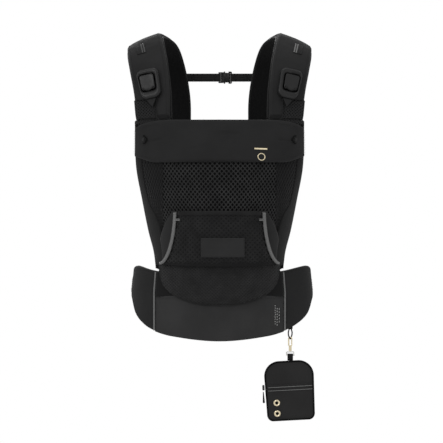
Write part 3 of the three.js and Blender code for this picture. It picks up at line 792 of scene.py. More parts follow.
# Each lamp: its name, place and size in metres, and its power in watts.
LIGHTS = (
    ("key", (-2.5, -3.0, 1.9), 1.8, 30),
    ("fill", (2.2, -3.2, 0.3), 1.8, 4.5),
    ("top", (-0.2, -0.6, 2.8), 1.2, 7),
    ("back", (-0.6, 3.2, 1.6), 1.6, 34),
)
WORLD_LIGHT = 0.7


def make_camera():
    """A level view from far in front."""
    data = bpy.data.cameras.new("camera")
    data.sensor_width = SENSOR
    data.lens = SENSOR * VIEW_AWAY / VIEW_WIDTH
    camera = add_object("camera", data)
    camera.location = Vector((VIEW_X, VIEW_Y - VIEW_AWAY, VIEW_Z)) * MM
    camera.rotation_euler = (math.pi / 2, 0, 0)
    bpy.context.scene.camera = camera


def area_light(name, place, size, power):
    """A square lamp in metres and watts, turned to the carrier."""
    data = bpy.data.lights.new(name, "AREA")
    data.size = size
    data.energy = power
    light = add_object(name, data)
    light.location = place
    light.rotation_euler = (Vector(LIT_POINT) - Vector(place)).to_track_quat("-Z", "Y").to_euler()


def make_stage():
    """A round white room round the carrier. It is lit from within and adds no light."""
    made = Nodes("studio_white", (0, 0, 0), 1.0)
    made.set("Specular IOR Level", 0)
    made.set("Emission Color", (1, 1, 1, 1))
    made.set("Emission Strength", 1.0)
    room = bmesh.new()
    bmesh.ops.create_icosphere(room, subdivisions=4, radius=ROOM_RADIUS)
    mesh = bpy.data.meshes.new("studio")
    room.to_mesh(mesh)
    room.free()
    mesh.materials.append(made.material)
    mesh.shade_smooth()
    studio = add_object("studio", mesh)
    studio.visible_diffuse = False
    studio.visible_glossy = False
    studio.visible_shadow = False


def make_light():
    """Even white surroundings and four square lamps."""
    world = bpy.data.worlds.new("studio_world")
    bpy.context.scene.world = world
    world.use_nodes = True
    world.node_tree.nodes["Background"].inputs["Color"].default_value = (1, 1, 1, 1)
    world.node_tree.nodes["Background"].inputs["Strength"].default_value = WORLD_LIGHT
    for name, place, size, power in LIGHTS:
        area_light(name, place, size, power)
    bpy.context.scene.view_settings.view_transform = "Standard"
    bpy.context.scene.view_settings.look = "None"


# ------------------------------------------------------------------ panel

MESH_PITCH_U, MESH_PITCH_V = 0.040, 11.6
MESH_SPREAD = 130
PANEL_ARC = 247


def border(corners, steps=24):
    """The two numbers of a path along straight lines between corners."""
    us, vs = [], []
    for (u0, v0), (u1, v1) in zip(corners, corners[1:]):
        us += list(np.linspace(u0, u1, steps, endpoint=False))
        vs += list(np.linspace(v0, v1, steps, endpoint=False))
    return np.array(us + [corners[-1][0]]), np.array(vs + [corners[-1][1]])


def frame_corners(half, low, high):
    """A closed box from -half to half across."""
    return [(-half, low), (half, low), (half, high), (-half, high), (-half, low)]


def crossed_corners(x0, x1, half):
    """A box with a cross in it, as one line."""
    return [(x0, -half), (x1, -half), (x1, half), (x0, half), (x0, -half), (x1, half), (x1, -half),
            (x0, half)]


def make_panel():
    """The front panel: its backing, lining, open mesh and bound edges."""
    us = np.linspace(-1, 1, 73)
    backing_z = np.linspace(PANEL_BOTTOM - 6, PANEL_TOP, 49)
    padded_sheet("panel_backing", panel_at, -4.4, -2.6, us, backing_z, BACKING_AND_SHADE, "carrier",
                 edge=1.5, replaces="front_panel", slot="mesh")
    padded_sheet("panel_lining_mesh", panel_at, -9.0, -4.8, us, np.linspace(PANEL_BOTTOM, PANEL_TOP, 49),
                 LINING, "carrier", edge=3, replaces="panel_lining", slot="lining")
    lattice("front_panel_mesh", panel_at, (-0.6, 0.6), (POCKET_LOW + 30, FLAP_LOW + 22),
            (MESH_PITCH_U, MESH_PITCH_V), 0.72, 0.3, -2.2,
            lambda u, v: abs(panel_x(u, v)) < MESH_SPREAD and POCKET_LOW + 34 < v < FLAP_LOW + 18,
            MESH, "carrier", scale=(PANEL_ARC, 1), slot="mesh")
    for side, name in SIDES:
        make_stretched_mesh(side, name)
        zs = np.linspace(PANEL_BOTTOM - 4, PANEL_TOP - 2, 60)
        edge = on_surface(panel_at, 0.998, zs, -3.4) * (side, 1, 1)
        cord_mesh(f"panel_binding_{name}", edge, 4.2, BINDING, "carrier", slot="webbing")
    top = on_surface(panel_at, np.linspace(-1, 1, 90), PANEL_TOP - 1, -3.4)
    cord_mesh("panel_top_binding", top, 4.6, BINDING, "carrier", slot="webbing")


def make_stretched_mesh(side, name):
    """Beside the open mesh the knit is pulled upright, into narrow tall cells over a cloth."""
    def place(u, v):
        inner = MESH_SPREAD - 4
        outer = panel_x(side_inner(v) + 0.03, v)
        return panel_point(inner + (outer - inner) * u, v)

    low, high = POCKET_TOP - 40, FLAP_LOW + 22
    # Painted shade: the cloth and knit here are darker than the open mesh beside them, for the shade at the
    # panel's sides.
    padded_sheet(f"mesh_side_cloth_{name}", place, -2.4, -0.6, np.linspace(0, 1, 15),
                 np.linspace(low, high, 41), CLOTH_DARK_AND_SIDE_SHADE, "carrier", edge=1, mirror=side < 0, slot="mesh")
    lattice(f"mesh_side_{name}", place, (0.06, 0.97), (low, high), (0.13, MESH_PITCH_V * 1.25), 0.5,
            0.3, -0.8, lambda u, v: low + 4 < v < high - 2 and u < 0.95, CLOTH_DARK_AND_SIDE_SHADE, "carrier",
            mirror=side < 0, scale=(40, 1), slot="mesh")


def side_place(u, v):
    """The side panel: u 0 at its inner seam and 1 at the panel's edge, v its height."""
    inner = side_inner(v)
    return panel_at(inner + (0.99 - inner) * u, v)


def make_side_panels():
    """The smooth cloth beside the mesh, with its seam."""
    us = np.linspace(0, 1, 19)
    vs = np.linspace(PANEL_BOTTOM + 2, FLAP_LOW + 20, 49)
    for side, name in SIDES:
        # Painted shade: the side panels take the darker copy of the smooth cloth.
        padded_sheet(f"side_panel_{name}_cloth", side_place, -2.2, 0.9, us, vs, CLOTH_SIDE_SHADED, "carrier",
                     edge=1.6, crown=0.4, mirror=side < 0, replaces=f"side_panel_{name}", slot="fabric")
        seam = on_surface(side_place, 0.10, np.linspace(PANEL_BOTTOM + 8, FLAP_LOW + 14, 60), 1.5)
        stitches(f"side_seam_{name}", seam * (side, 1, 1), "carrier")


# ------------------------------------------------------------------ pocket

POCKET_PITCH_X, POCKET_PITCH_Z = 9.6, 10.2
PATCH_X, PATCH_HALF, PATCH_LOW, PATCH_TALL = 6.5, 43, 194, 40


def pocket_edge(v, away=0.0):
    """x and z on the pocket's hand edge, v from 0 at its foot to 1, away millimetres outside it."""
    turn = (1 - np.asarray(v, float)) * math.radians(88)
    rise = POCKET_TOP - POCKET_LOW
    out_x, out_z = rise * np.cos(turn), POCKET_FLARE * np.sin(turn)
    shift = away / np.hypot(out_x, out_z)
    x = POCKET_HALF + POCKET_FLARE * (1 - np.cos(turn)) + out_x * shift
    return x, POCKET_TOP - rise * np.sin(turn) + out_z * shift


def pocket_half(z):
    """Half-width of the pocket at height z."""
    fall = np.clip((POCKET_TOP - np.asarray(z, float)) / (POCKET_TOP - POCKET_LOW), 0, 1)
    return POCKET_HALF + POCKET_FLARE * (1 - np.sqrt(1 - fall * fall))


def pocket_place(u, v):
    """The pocket's surface: u from -1 to 1 across, v from 0 at its foot to 1."""
    x, z = pocket_edge(v)
    return panel_point(u * x, z)


def piping_place(u, v):
    """Across the piping in millimetres from the pocket's edge, and v along it."""
    x, z = pocket_edge(v, u)
    return panel_point(x, z)


def hem_place(u, v):
    """The pocket's turned top edge."""
    return panel_point(u * (POCKET_HALF - 1), POCKET_TOP - 8 + 9 * v)


def facing_place(u, v):
    """The smooth facing that shows behind the hand opening, u outwards and v up."""
    z = POCKET_LOW - 2 + (POCKET_TOP + 4 - POCKET_LOW) * v
    inner = pocket_half(z) + 4
    outer = np.minimum(panel_x(side_inner(z) + 0.02, z), inner + facing_reach(z))
    return panel_point(inner + (np.maximum(outer, inner + 1) - inner) * u, z)


def make_pocket():
    """The front pocket: mesh over a cloth, hem, piping, facings and patch."""
    us = np.linspace(-1, 1, 61)
    vs = np.linspace(0, 1, 31)
    padded_sheet("pocket_backing", pocket_place, 11.4, 13.4, us, vs, POCKET_BACKING, "carrier", edge=1.5,
                 replaces="kangaroo_pocket", slot="mesh")

    def inside(x, z):
        return abs(x) < pocket_half(z) - 2 and POCKET_LOW + 6 < z < POCKET_TOP - 6

    lattice("kangaroo_pocket_mesh", panel_point, (-140, 140), (POCKET_LOW, POCKET_TOP),
            (POCKET_PITCH_X, POCKET_PITCH_Z), 0.44, 14.4, 13.2, inside, MESH_DARK, "carrier", slot="mesh")
    padded_sheet("pocket_hem", hem_place, 13.0, 14.9, np.linspace(-1, 1, 61), np.linspace(0, 1, 9),
                 MESH_DARK, "carrier", edge=1.6, slot="mesh")
    for side, name in SIDES:
        padded_sheet(f"pocket_piping_{name}_tape", piping_place, 12.4, 16.2, np.linspace(0.8, 7.2, 9),
                     np.linspace(0, 1, 60), TRIM, "carrier", edge=2.4, crown=0.6, mirror=side < 0,
                     replaces=f"pocket_piping_{name}", slot="trim")
        padded_sheet(f"pocket_facing_{name}", facing_place, 4.0, 6.4, np.linspace(0, 1, 15),
                     np.linspace(0, 1, 41), CLOTH, "carrier", edge=3, crown=1.5, mirror=side < 0,
                     slot="fabric")
        make_bar_tacks(side, name)
    make_patch()


def make_bar_tacks(side, name):
    """Two short, dense rows of pale thread that hold the top end of the piping."""
    for k, v in enumerate((0.90, 0.915, 0.985)):
        reach = (-8, 3) if k < 2 else (1, 6)
        across = on_surface(piping_place, np.linspace(*reach, 6), v, 16.9) * (side, 1, 1)
        cord_mesh(f"bar_tack_{name}_{k}", across, 0.8, THREAD_PALE, "carrier", slot="trim")
    for k, u in enumerate((1.6, 6.2)):
        line = on_surface(piping_place, u, np.linspace(0.02, 0.99, 160), 16.9) * (side, 1, 1)
        stitches(f"piping_stitching_{name}_{k}", line, "carrier", length=1.8, gap=1.2,
                 material=THREAD_PALE)


def make_patch():
    """A plain sewn patch with a raised frame."""
    def place(u, v):
        return panel_point(PATCH_X + PATCH_HALF * u, PATCH_LOW + PATCH_TALL * v)

    def relief(u, v):
        """A raised frame round a slightly sunken middle."""
        inside = np.clip((0.9 - np.abs(u)) / 0.1, 0, 1) * np.clip((0.4 - np.abs(v - 0.5)) / 0.1, 0, 1)
        return 0.5 - 0.6 * inside

    padded_sheet("label_patch_cloth", place, 14.6, 18.0, np.linspace(-1, 1, 65), np.linspace(0, 1, 33),
                 PATCH, "carrier", edge=1.8, relief=relief, replaces="label_patch", slot="patch")
    us, vs = border(frame_corners(0.96, 0.05, 0.95))
    stitches("patch_stitching", on_surface(place, us, vs, 18.6), "carrier", length=2.2, gap=1.2)


# ------------------------------------------------------------------ seat

SEAT_RIB = 3.6


def seat_flat_place(x, z):
    """The bulge by x and height instead of by share of its height."""
    u = np.clip(x / SEAT_HALF, -0.999, 0.999)
    low = seat_foot(u)
    point = seat_point(u, np.clip((z - low) / (SEAT_TOP - low), 0, 1.0))
    point[..., 2] = np.maximum(z, low)
    return point


def make_seat():
    """The seat's ribbed cloth, with open mesh over it."""
    us = cosine_steps(80, -1, 1, 0.8)
    vs = np.linspace(0, 1, 97)

    def relief(u, v):
        """Fine ribs that run across the seat."""
        height = seat_point(u, v)[..., 2]
        return 0.45 * np.sin(height * 2 * math.pi / SEAT_RIB)

    padded_sheet("seat_panel_ribbed", seat_point, -2.0, 1.6, us, vs, SEAT_CLOTH, "carrier", edge=3,
                 relief=relief, replaces="seat_panel", slot="mesh")

    def inside(x, z):
        return abs(x) < 129 and seat_foot(min(abs(x) / SEAT_HALF, 0.999)) + 6 < z < PANEL_BOTTOM + 5

    lattice("seat_panel_mesh", seat_flat_place, (-134, 134), (SEAT_LOW, PANEL_BOTTOM + 8),
            (7.4, SEAT_RIB * 2), 0.4, 2.1, 1.3, inside, SEAT_MESH, "carrier", slot="mesh")


# ------------------------------------------------------------------ waistband

WAIST_SEAM = 101


def waist_place(trim_low=0.0, trim_high=0.0):
    """The waistband as a surface, its low and high edges drawn in by the trims."""
    def place(angle, v):
        size = np.abs(angle)
        low = waist_low(size) + trim_low
        high = waist_high(size) - trim_high
        return waist_point(angle, low + (high - low) * v)
    return place


def waist_relief(angle, v):
    """A stitched seam along the centre section, and slight quilting dents."""
    height = waist_low(np.abs(angle)) * (1 - v) + waist_high(np.abs(angle)) * v
    seam = np.exp(-((height - 99) / 2.6) ** 2) * -2.2
    filled = FILLED["cover"](angle / (2 * WING_START) + 0.5, v)
    return seam + filled + 0.35 * np.sin(angle * 0.31) * np.sin(v * 5.1)


def make_waistband():
    """The waistband: centre, yoke, foam, lining, wings, webbing and buckle."""
    edge = WING_START - 0.2
    vs = cosine_steps(34, 0, 1, 0.7)
    cover = padded_sheet("waistband_cover_cloth", waist_place(), -3.6, 0.4, np.linspace(-edge, edge, 91),
                         vs, CLOTH_LIGHT, "carrier", edge=7, crown=4.0, relief=waist_relief,
                         replaces="waistband_cover", slot="fabric")
    yoke_vs = cosine_steps(20, WAIST_SEAM, WAIST_TOP - 3, 0.5)
    padded_sheet("waistband_yoke", waist_point, 0.6, 3.4, np.linspace(-edge + 1.2, edge - 1.2, 91),
                 yoke_vs, CLOTH_DARK_AND_SIDE_SHADE, "carrier", edge=3.5, crown=0.6, slot="fabric")
    padded_sheet("waistband_foam_core", waist_place(6, 6), -14, -4.2, np.linspace(-edge, edge, 51),
                 np.linspace(0, 1, 15), FOAM, "carrier", edge=5, replaces="waistband_foam", slot="foam")
    reach = WING_END - 8
    padded_sheet("waistband_lining_mesh", waist_place(8, 8), -19.4, -15.6, np.linspace(-reach, reach, 121),
                 cosine_steps(20, 0, 1), LINING, "carrier", edge=3, replaces="waistband_lining",
                 slot="lining")
    for side, name in SIDES:
        make_wing(side, name, vs)
    seam = on_surface(waist_point, np.linspace(-46, 46, 120), WAIST_SEAM - 4, 3.6)
    stitches("waistband_seam_stitching", seam, "carrier")
    make_care_print()
    make_waist_webbing()
    buckle_webbing("waist_webbing", WAIST_WEBBING, np.array((0.0, WAIST_B + 2, WEBBING_Z)), np.eye(3),
                   "carrier", "waist_insert", 2.4)
    rounded("waist_buckle_housing", PLASTIC, 1.2)
    rounded("waist_buckle_insert", PLASTIC, 0.8)


def make_wing(side, name, vs):
    """One padded side of the waistband, with its reflective strip and stitching."""
    wing = padded_sheet(f"waistband_wing_{name}_pad", one_side(side, waist_place()), -14.4, 0.2,
                        cosine_steps(46, WING_START, WING_END, 0.5), vs, CLOTH, "carrier", edge=8,
                        crown=1.5, mirror=side < 0, replaces=f"waistband_wing_{name}", slot="fabric")
    low, high = waist_low(WING_START) + 2, waist_high(WING_START) - 2

    def strip_place(u, v):
        return waist_point(WING_START + 0.8 * u, low + (high - low) * v)

    padded_sheet(f"reflective_strip_{name}_tape", strip_place, -1.0, 2.8, np.linspace(-1, 1, 7),
                 np.linspace(0, 1, 50), TRIM, "carrier", edge=1.4, mirror=side < 0,
                 replaces=f"reflective_strip_{name}", slot="trim")
    line = on_surface(strip_place, 0.0, np.linspace(0.02, 0.98, 150), 3.1) * (side, 1, 1)
    stitches(f"strip_stitching_{name}", line, "carrier", length=1.8, gap=1.4, material=THREAD_PALE)
    around = np.linspace(WING_START + 3, WING_END - 3, 60)
    for share, edge_name in ((1.0, "top"), (0.0, "low")):
        rim = on_surface(one_side(side, waist_place(5, 5)), around, share, 0.8) * (side, 1, 1)
        stitches(f"wing_{edge_name}_stitching_{name}", rim, "carrier")


def make_care_print():
    """Plain printed dashes in three upright rows, where the real one has small print."""
    rows = ((124, 36, 84), (128.5, 33, 78), (133, 40, 80))
    for k, (x, low, high) in enumerate(rows):
        line = on_surface(waist_point, waist_angle(x), np.linspace(low, high, 40), 3.0)
        stitches(f"care_print_{k}", line, "carrier", length=4.0 + k, gap=1.1, width=0.8, material=PRINT)


def make_waist_webbing():
    """The belt's two halves, each with its sewn box."""
    for side, name in SIDES:
        end = HOUSING_ANGLE if side > 0 else INSERT_ANGLE
        half = WAIST_WEBBING / 2
        place = one_side(side, waist_point)
        body = padded_sheet(f"waist_webbing_{name}_strap", place, 1.4, 4.0,
                            np.linspace(WEBBING_START, end, 70),
                            np.linspace(WEBBING_Z - half, WEBBING_Z + half, 13), WEBBING, "carrier",
                            edge=0.9, mirror=side < 0, replaces=f"waist_webbing_{name}", slot="webbing")
        us, vs = border([(a, WEBBING_Z + z) for a, z in crossed_corners(97, 106, 13)], 10)
        stitches(f"waist_webbing_box_{name}", on_surface(place, us, vs, 4.4) * (side, 1, 1), "carrier")
        if side < 0:
            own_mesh(body)


# ------------------------------------------------------------------ shoulder straps

BASE_IN, BASE_OUT, BASE_TOP = -0.28, 0.96, 0.078
ANCHOR_DROP, ANCHOR_LIFT = 0.045, 14.6
TAB_SPAN = (0.262, 0.325)


def strap_relief(u, v):
    """Light cross creases where the strap bends over the shoulder, and its fill."""
    over = np.exp(-((v - 0.42) / 0.16) ** 2)
    return 0.5 * over * np.sin(v * 95 + 1.5 * u) + FILLED["strap"]((u + 1) / 2, v)


def make_straps():
    """Both shoulder straps: pad, lining, bindings, stitching and what is sewn on."""
    us = cosine_steps(20, -1, 1, 0.7)
    vs = np.linspace(0, 1, 150)
    for side, name in SIDES:
        mirror = side < 0
        pad = padded_sheet(f"shoulder_strap_{name}_pad", strap_point, 0.2, STRAP_THICK - 1.5, us, vs, CLOTH,
                           "carrier", edge=9, crown=2.2, relief=strap_relief, mirror=mirror,
                           replaces=f"shoulder_strap_{name}", slot="fabric")
        padded_sheet(f"shoulder_lining_{name}_mesh", lambda u, v: strap_point(u * 0.98, v),
                     -LINING_THICK - 1.4, -0.4, us, vs, LINING, "carrier", edge=4, mirror=mirror,
                     replaces=f"shoulder_lining_{name}", slot="lining")
        for u, edge_name in ((-1, "inner"), (1, "outer")):
            path = on_surface(strap_point, u * 0.985, np.linspace(0.004, 0.996, 200), 1.0)
            cord_mesh(f"strap_binding_{edge_name}_{name}", path, 3.0, BINDING, "carrier",
                      mirror=mirror, slot="webbing")
            line = on_surface(strap_point, u * 0.84, np.linspace(0.01, 0.99, 260), STRAP_THICK - 0.3)
            stitches(f"strap_stitching_{edge_name}_{name}", line * (side, 1, 1), "carrier")
        make_strap_base(side, name)
        make_strap_tab(side, name)
        make_neck_rail(side, name)


def anchored(across, along):
    """The strap's outer face at along, carried on down over the panel where along is negative."""
    lift = ANCHOR_LIFT - 7 * np.clip((np.abs(across) - 0.78) / 0.2, 0, 1) ** 2
    upper = stand_off(strap_point, across, np.maximum(along, 0.004), lift)
    corner = strap_point(across, np.full(across.shape, 0.004))
    below = np.clip(-along / ANCHOR_DROP, 0, 1)
    z = corner[..., 2] - below * ANCHOR_DROP * STRAP_LENGTH
    x = corner[..., 0] - 4 * below
    lower = stand_off(panel_point, x, z, np.full(across.shape, 0.8))
    share = np.clip((along + ANCHOR_DROP) / (ANCHOR_DROP + 0.03), 0, 1)
    ease = (share * share * (3 - 2 * share))[..., None]
    straight = np.stack([x, upper[..., 1], np.where(along < 0, z, upper[..., 2])], -1)
    high = np.where((along < 0)[..., None], straight, upper)
    return lower * (1 - ease) + high * ease


def base_place(u, v):
    """From the panel below the flap's top edge, v 0, up the strap's face to its buckle, v 1."""
    u, v = pair(u, v)
    across = BASE_IN + (BASE_OUT - BASE_IN) * u
    return anchored(across, v * (BASE_TOP + ANCHOR_DROP) - ANCHOR_DROP)


def anchor_place(u, v):
    """The strap's own lower end, tucked behind the flap."""
    u, v = pair(u, v)
    return anchored(u * 0.99, -ANCHOR_DROP + (ANCHOR_DROP + 0.02) * v)


def make_strap_base(side, name):
    """Cloth with close round holes, which carries the panel's corner up to the buckle."""
    padded_sheet(f"strap_base_{name}_backing", base_place, 0.2, 1.6, np.linspace(0, 1, 25),
                 np.linspace(0, 1, 41), BACKING_AND_SHADE, "carrier", edge=1.2, mirror=side < 0,
                 replaces=f"strap_base_{name}", slot="mesh")
    lattice(f"strap_base_{name}_mesh", base_place, (0, 1), (0, 1), (0.15, 0.094), 0.46, 3.4, 1.8,
            lambda u, v: 0.04 < u < 0.96 and 0.02 < v < 0.985, CLOTH, "carrier", mirror=side < 0,
            scale=(55, 80), slot="mesh")
    for share, edge_name in ((0.0, "in"), (1.0, "out")):
        path = on_surface(base_place, share, np.linspace(0.0, 1.0, 60), 1.4)
        cord_mesh(f"strap_base_binding_{name}_{edge_name}", path, 1.9, BINDING, "carrier",
                  mirror=side < 0, slot="webbing")
    padded_sheet(f"strap_anchor_{name}", anchor_place, -6.0, 2.2, np.linspace(-1, 1, 21),
                 np.linspace(0, 1, 25), CLOTH_DARK_AND_SIDE_SHADE, "carrier", edge=3, mirror=side < 0, slot="fabric")


def make_strap_tab(side, name):
    """A small stitched webbing tab with two reflective stripes, near the top of the shoulder."""
    start, end = TAB_SPAN
    middle = 0.22

    def place(u, v):
        return strap_point(middle + 0.24 * u, v)

    height = STRAP_THICK + 2.0
    padded_sheet(f"strap_tab_{name}", place, height - 1.8, height + 0.8, np.linspace(-1, 1, 9),
                 np.linspace(start, end, 25), WEBBING_DARK, "carrier", edge=0.9, mirror=side < 0,
                 slot="webbing")
    # Painted shade: the left tab's stripes take the dimmer copy of the tape.
    stripe_material = TRIM if side > 0 else TRIM_SHADED
    for k, u in enumerate((-0.72, -0.24)):
        def stripe(a, v, u=u):
            return place(u + 0.17 * a, v)

        padded_sheet(f"strap_tab_stripe_{name}_{k}", stripe, height + 0.6, height + 1.5,
                     np.linspace(-1, 1, 5), np.linspace(start + 0.002, end - 0.002, 25),
                     stripe_material, "carrier", edge=0.4, mirror=side < 0, slot="trim")


def make_neck_rail(side, name):
    """Webbing down the back of the strap, which the neck strap's slider runs on."""
    def place(u, v):
        u, v = pair(u, v)
        point = strap_point(np.zeros(u.shape), v)
        point[..., 0] = SLIDER_X + 8 * u
        return point

    padded_sheet(f"neck_rail_{name}", place, STRAP_THICK + 0.6, STRAP_THICK + 2.4,
                 np.linspace(-1, 1, 7), np.linspace(0.60, 0.84, 60), WEBBING, "carrier", edge=0.8,
                 mirror=side < 0, slot="webbing")


# ------------------------------------------------------------------ placed frames


def placed(points, origin, basis):
    """Points given in a frame (columns of basis are its axes), in the carrier's millimetres."""
    return np.asarray(points, float) @ np.asarray(basis, float).T + np.asarray(origin, float)


def unit(vector):
    """The vector brought to a length of 1."""
    return vector / np.linalg.norm(vector)


def outline_rounded(width, height, radius, steps=7):
    """A rounded rectangle's outline in X and Z, anticlockwise, radius per corner from lower right."""
    radii = radius if isinstance(radius, (tuple, list)) else (radius,) * 4
    found = []
    for k, (sx, sz) in enumerate(((1, -1), (1, 1), (-1, 1), (-1, -1))):
        r = radii[k]
        start = math.radians(-90 + 90 * k)
        for a in np.linspace(start, start + math.pi / 2, steps):
            found.append((sx * (width / 2 - r) + r * math.cos(a), sz * (height / 2 - r) + r * math.sin(a)))
    return np.array(found)


def shrink(outline, amount):
    """The outline moved inwards along its own normals."""
    ahead = np.roll(outline, -1, 0) - np.roll(outline, 1, 0)
    ahead /= np.maximum(np.linalg.norm(ahead, axis=1, keepdims=True), 1e-9)
    inward = np.stack([-ahead[:, 1], ahead[:, 0]], -1)
    return outline + inward * amount


def lofted(name, rings, origin, basis, material, body, **options):
    """A closed body through rings of one size, each (outline, y), fanned shut at both ends."""
    count = len(rings[0][0])
    points = np.vstack([np.column_stack([ring[:, 0], np.full(count, y), ring[:, 1]]) if np.isscalar(y)
                        else np.column_stack([ring[:, 0], y, ring[:, 1]]) for ring, y in rings])
    faces = []
    for j in range(len(rings) - 1):
        for i in range(count):
            n = (i + 1) % count
            a = j * count
            faces.append((a + i, a + n, a + count + n, a + count + i))
    faces.append(tuple(reversed(range(count))))
    faces.append(tuple(range((len(rings) - 1) * count, len(rings) * count)))
    uv = points[:, [0, 2]]
    obj = piece(name, placed(points, origin, basis), faces, material, body, uv, **options)
    shape = bmesh.new()
    shape.from_mesh(obj.data)
    bmesh.ops.recalc_face_normals(shape, faces=shape.faces)
    shape.to_mesh(obj.data)
    shape.free()
    return obj


# ------------------------------------------------------------------ shoulder buckles

POD_WIDTH, POD_HEIGHT, POD_DEPTH = 50, 70, 13
POD_ALONG, POD_ACROSS = 0.132, 0.02
POD_CREST = 5.0
WELL_SHIFT, WELL_RISE = 3, 4


def pod_frame(side):
    """A buckle's origin and axes: X across the strap, Z along it, -Y out of its face."""
    middle = strap_point(POD_ACROSS, POD_ALONG)
    z = unit(strap_point(POD_ACROSS, POD_ALONG + 0.02) - middle)
    across = strap_point(1, POD_ALONG) - strap_point(-1, POD_ALONG)
    y = unit(np.cross(z, across))
    middle = middle - y * (STRAP_THICK + 1.4 + POD_DEPTH)
    flip = np.array((side, 1, 1))
    y, z = y * flip, z * flip
    return middle * flip, np.stack([np.cross(y, z), y, z], -1)


def pod_taper(outline, side):
    """A buckle outline drawn in on its outer side, more so towards its foot."""
    share = np.clip((22 - outline[:, 1]) / 57, 0, 1)
    outer = np.where(side * outline[:, 0] > 0, 1 - 0.2 * share, 1)
    return outline * np.stack([outer, np.ones(len(outline))], -1)


def make_pod(side, name):
    """A glossy shell whose rounded rim is widest on the neck side and below its press button."""
    origin, basis = pod_frame(side)
    shell = pod_taper(outline_rounded(POD_WIDTH, POD_HEIGHT, (16, 12, 12, 16), 10), side)
    well = pod_taper(outline_rounded(36.2, 38.2, 6.5, 10) + (side * WELL_SHIFT, WELL_RISE - 0.5), side)
    rings = [(shrink(shell, 1.6), POD_DEPTH + 0.6), (shell, POD_DEPTH - 1.0), (shell, 6.5)]
    for turn in np.linspace(0.15, 1.0, 8) * math.pi:
        share = (1 - math.cos(turn)) / 2
        crest = POD_CREST * (1 - math.sin(turn) ** 0.8)
        fall = 2.6 * share ** 3
        rings.append((shell * (1 - share) + well * share, crest + fall))
    rings.append((well, 8.0))
    lofted(f"shoulder_buckle_{name}_shell", rings, origin, basis, PLASTIC, "carrier",
           replaces=f"shoulder_buckle_{name}", slot="moulded")
    make_press_button(side, name, origin, basis)
    make_pod_gaps(side, name, origin, basis)
    make_tongue(name, origin, basis)


def make_press_button(side, name, origin, basis):
    """A flat cap that dips towards its lower edge, sunk in the shell's well."""
    cap = pod_taper(outline_rounded(33.6, 35.6, 5.4, 8) + (side * WELL_SHIFT, WELL_RISE), side)
    centre = cap.mean(0)

    def face(outline, rise):
        """The cap's depth over an outline: deeper near its lower edge."""
        down = np.clip((centre[1] - outline[:, 1]) / 18, 0, 1)
        return rise + 1.9 * down ** 2.5

    rings = [(cap, 4.6), (cap, face(cap, 1.9)), (shrink(cap, 0.5), face(shrink(cap, 0.5), 1.2))]
    for inset in (1.4, 2.8, 4.6):
        outline = shrink(cap, inset)
        rings.append((outline, face(outline, 0.95)))
    for scale in (0.55, 0.3, 0.08):
        outline = centre + (cap - centre) * scale
        rings.append((outline, face(outline, 0.95)))
    lofted(f"press_button_{name}_cap", rings, origin, basis, PLASTIC, f"button_{name}",
           replaces=f"press_button_{name}", slot="moulded")


def make_pod_gaps(side, name, origin, basis):
    """Painted shade: a dark plate in the slot above the button and a dark cord along the curved gap below
    it.
    """
    slot = outline_rounded(19, 4.2, 1.9, 5) + (side * (WELL_SHIFT + 6), WELL_RISE + 22.6)
    lofted(f"buckle_slot_shade_{name}", [(slot, 3.4), (slot, -0.2), (shrink(slot, 0.6), -0.5)], origin, basis,
           PLASTIC_DARK_AND_GAP_SHADE, "carrier", slot="moulded")
    # Painted shade: a dark cord along the curved gap under the button.
    arc = np.linspace(-0.9, 0.9, 25)
    gap_shade_line = np.column_stack([WELL_SHIFT * side + 17 * np.sin(arc), np.full(25, 1.4),
                             WELL_RISE - 1.0 - 18.0 * np.cos(arc)])
    gap_shade_line[:, [0, 2]] = pod_taper(gap_shade_line[:, [0, 2]], side)
    cord_mesh(f"buckle_gap_shade_{name}", placed(gap_shade_line, origin, basis), 1.7, PLASTIC_DARK_AND_GAP_SHADE, "carrier",
              slot="moulded")


def make_tongue(name, origin, basis):
    """The pointed cloth tab below the buckle, bound along its two slanting sides."""
    us = cosine_steps(12, -1, 1, 0.6)
    vs = cosine_steps(14, 0, 1, 0.6)

    def place(u, v):
        """In the buckle's own frame, turned into the carrier's."""
        u, v = pair(u, v)
        half = 13 * np.clip(1 - v, 0, 1) + 0.8
        local = np.stack([half * u, np.full(u.shape, 7.2), -35 - 20.5 * v], -1)
        return placed(local, origin, basis)

    padded_sheet(f"buckle_tongue_{name}_cloth", place, -1.7, 1.5, us, vs[::-1], CLOTH, "carrier",
                 edge=1.6, crown=0.4, replaces=f"buckle_tongue_{name}", slot="fabric")
    for u in (-0.94, 0.94):
        line = np.stack([place(u, v) for v in np.linspace(0.02, 0.97, 20)]) - basis[:, 1] * 1.4
        cord_mesh(f"tongue_binding_{name}_{'a' if u < 0 else 'b'}", line, 0.9, BACKING_AND_SHADE, "carrier",
                  slot="webbing")


# ------------------------------------------------------------------ head support

FLAP_HALF, FLAP_WRAP = 185.5, math.radians(78)
# Each crease: x and z of its start and of its end, its width and its depth.
EAR_CREASES = ((118, 456, 160, 450, 2.4, 2.3), (128, 442, 160, 446, 3.0, 0.9))
MIDDLE_CREASES = ((-8, 466, 48, 464, 2.6, 2.1), (-70, 430, -10, 440, 4.0, 1.1))
BUTTON_X, BUTTON_Z = 163, 454


def flap_x(u):
    """x of the head support at u from -1 to 1, spread evenly along its curve."""
    return FLAP_HALF * np.sin(np.asarray(u, float) * FLAP_WRAP) / math.sin(FLAP_WRAP)


def flap_place(u, v):
    """The head support's surface: u across, v from 0 at its low edge to 1."""
    x = flap_x(u)
    bottom = flap_low(np.abs(x))
    return panel_point(x, bottom + (flap_high(np.abs(x)) - bottom) * v)


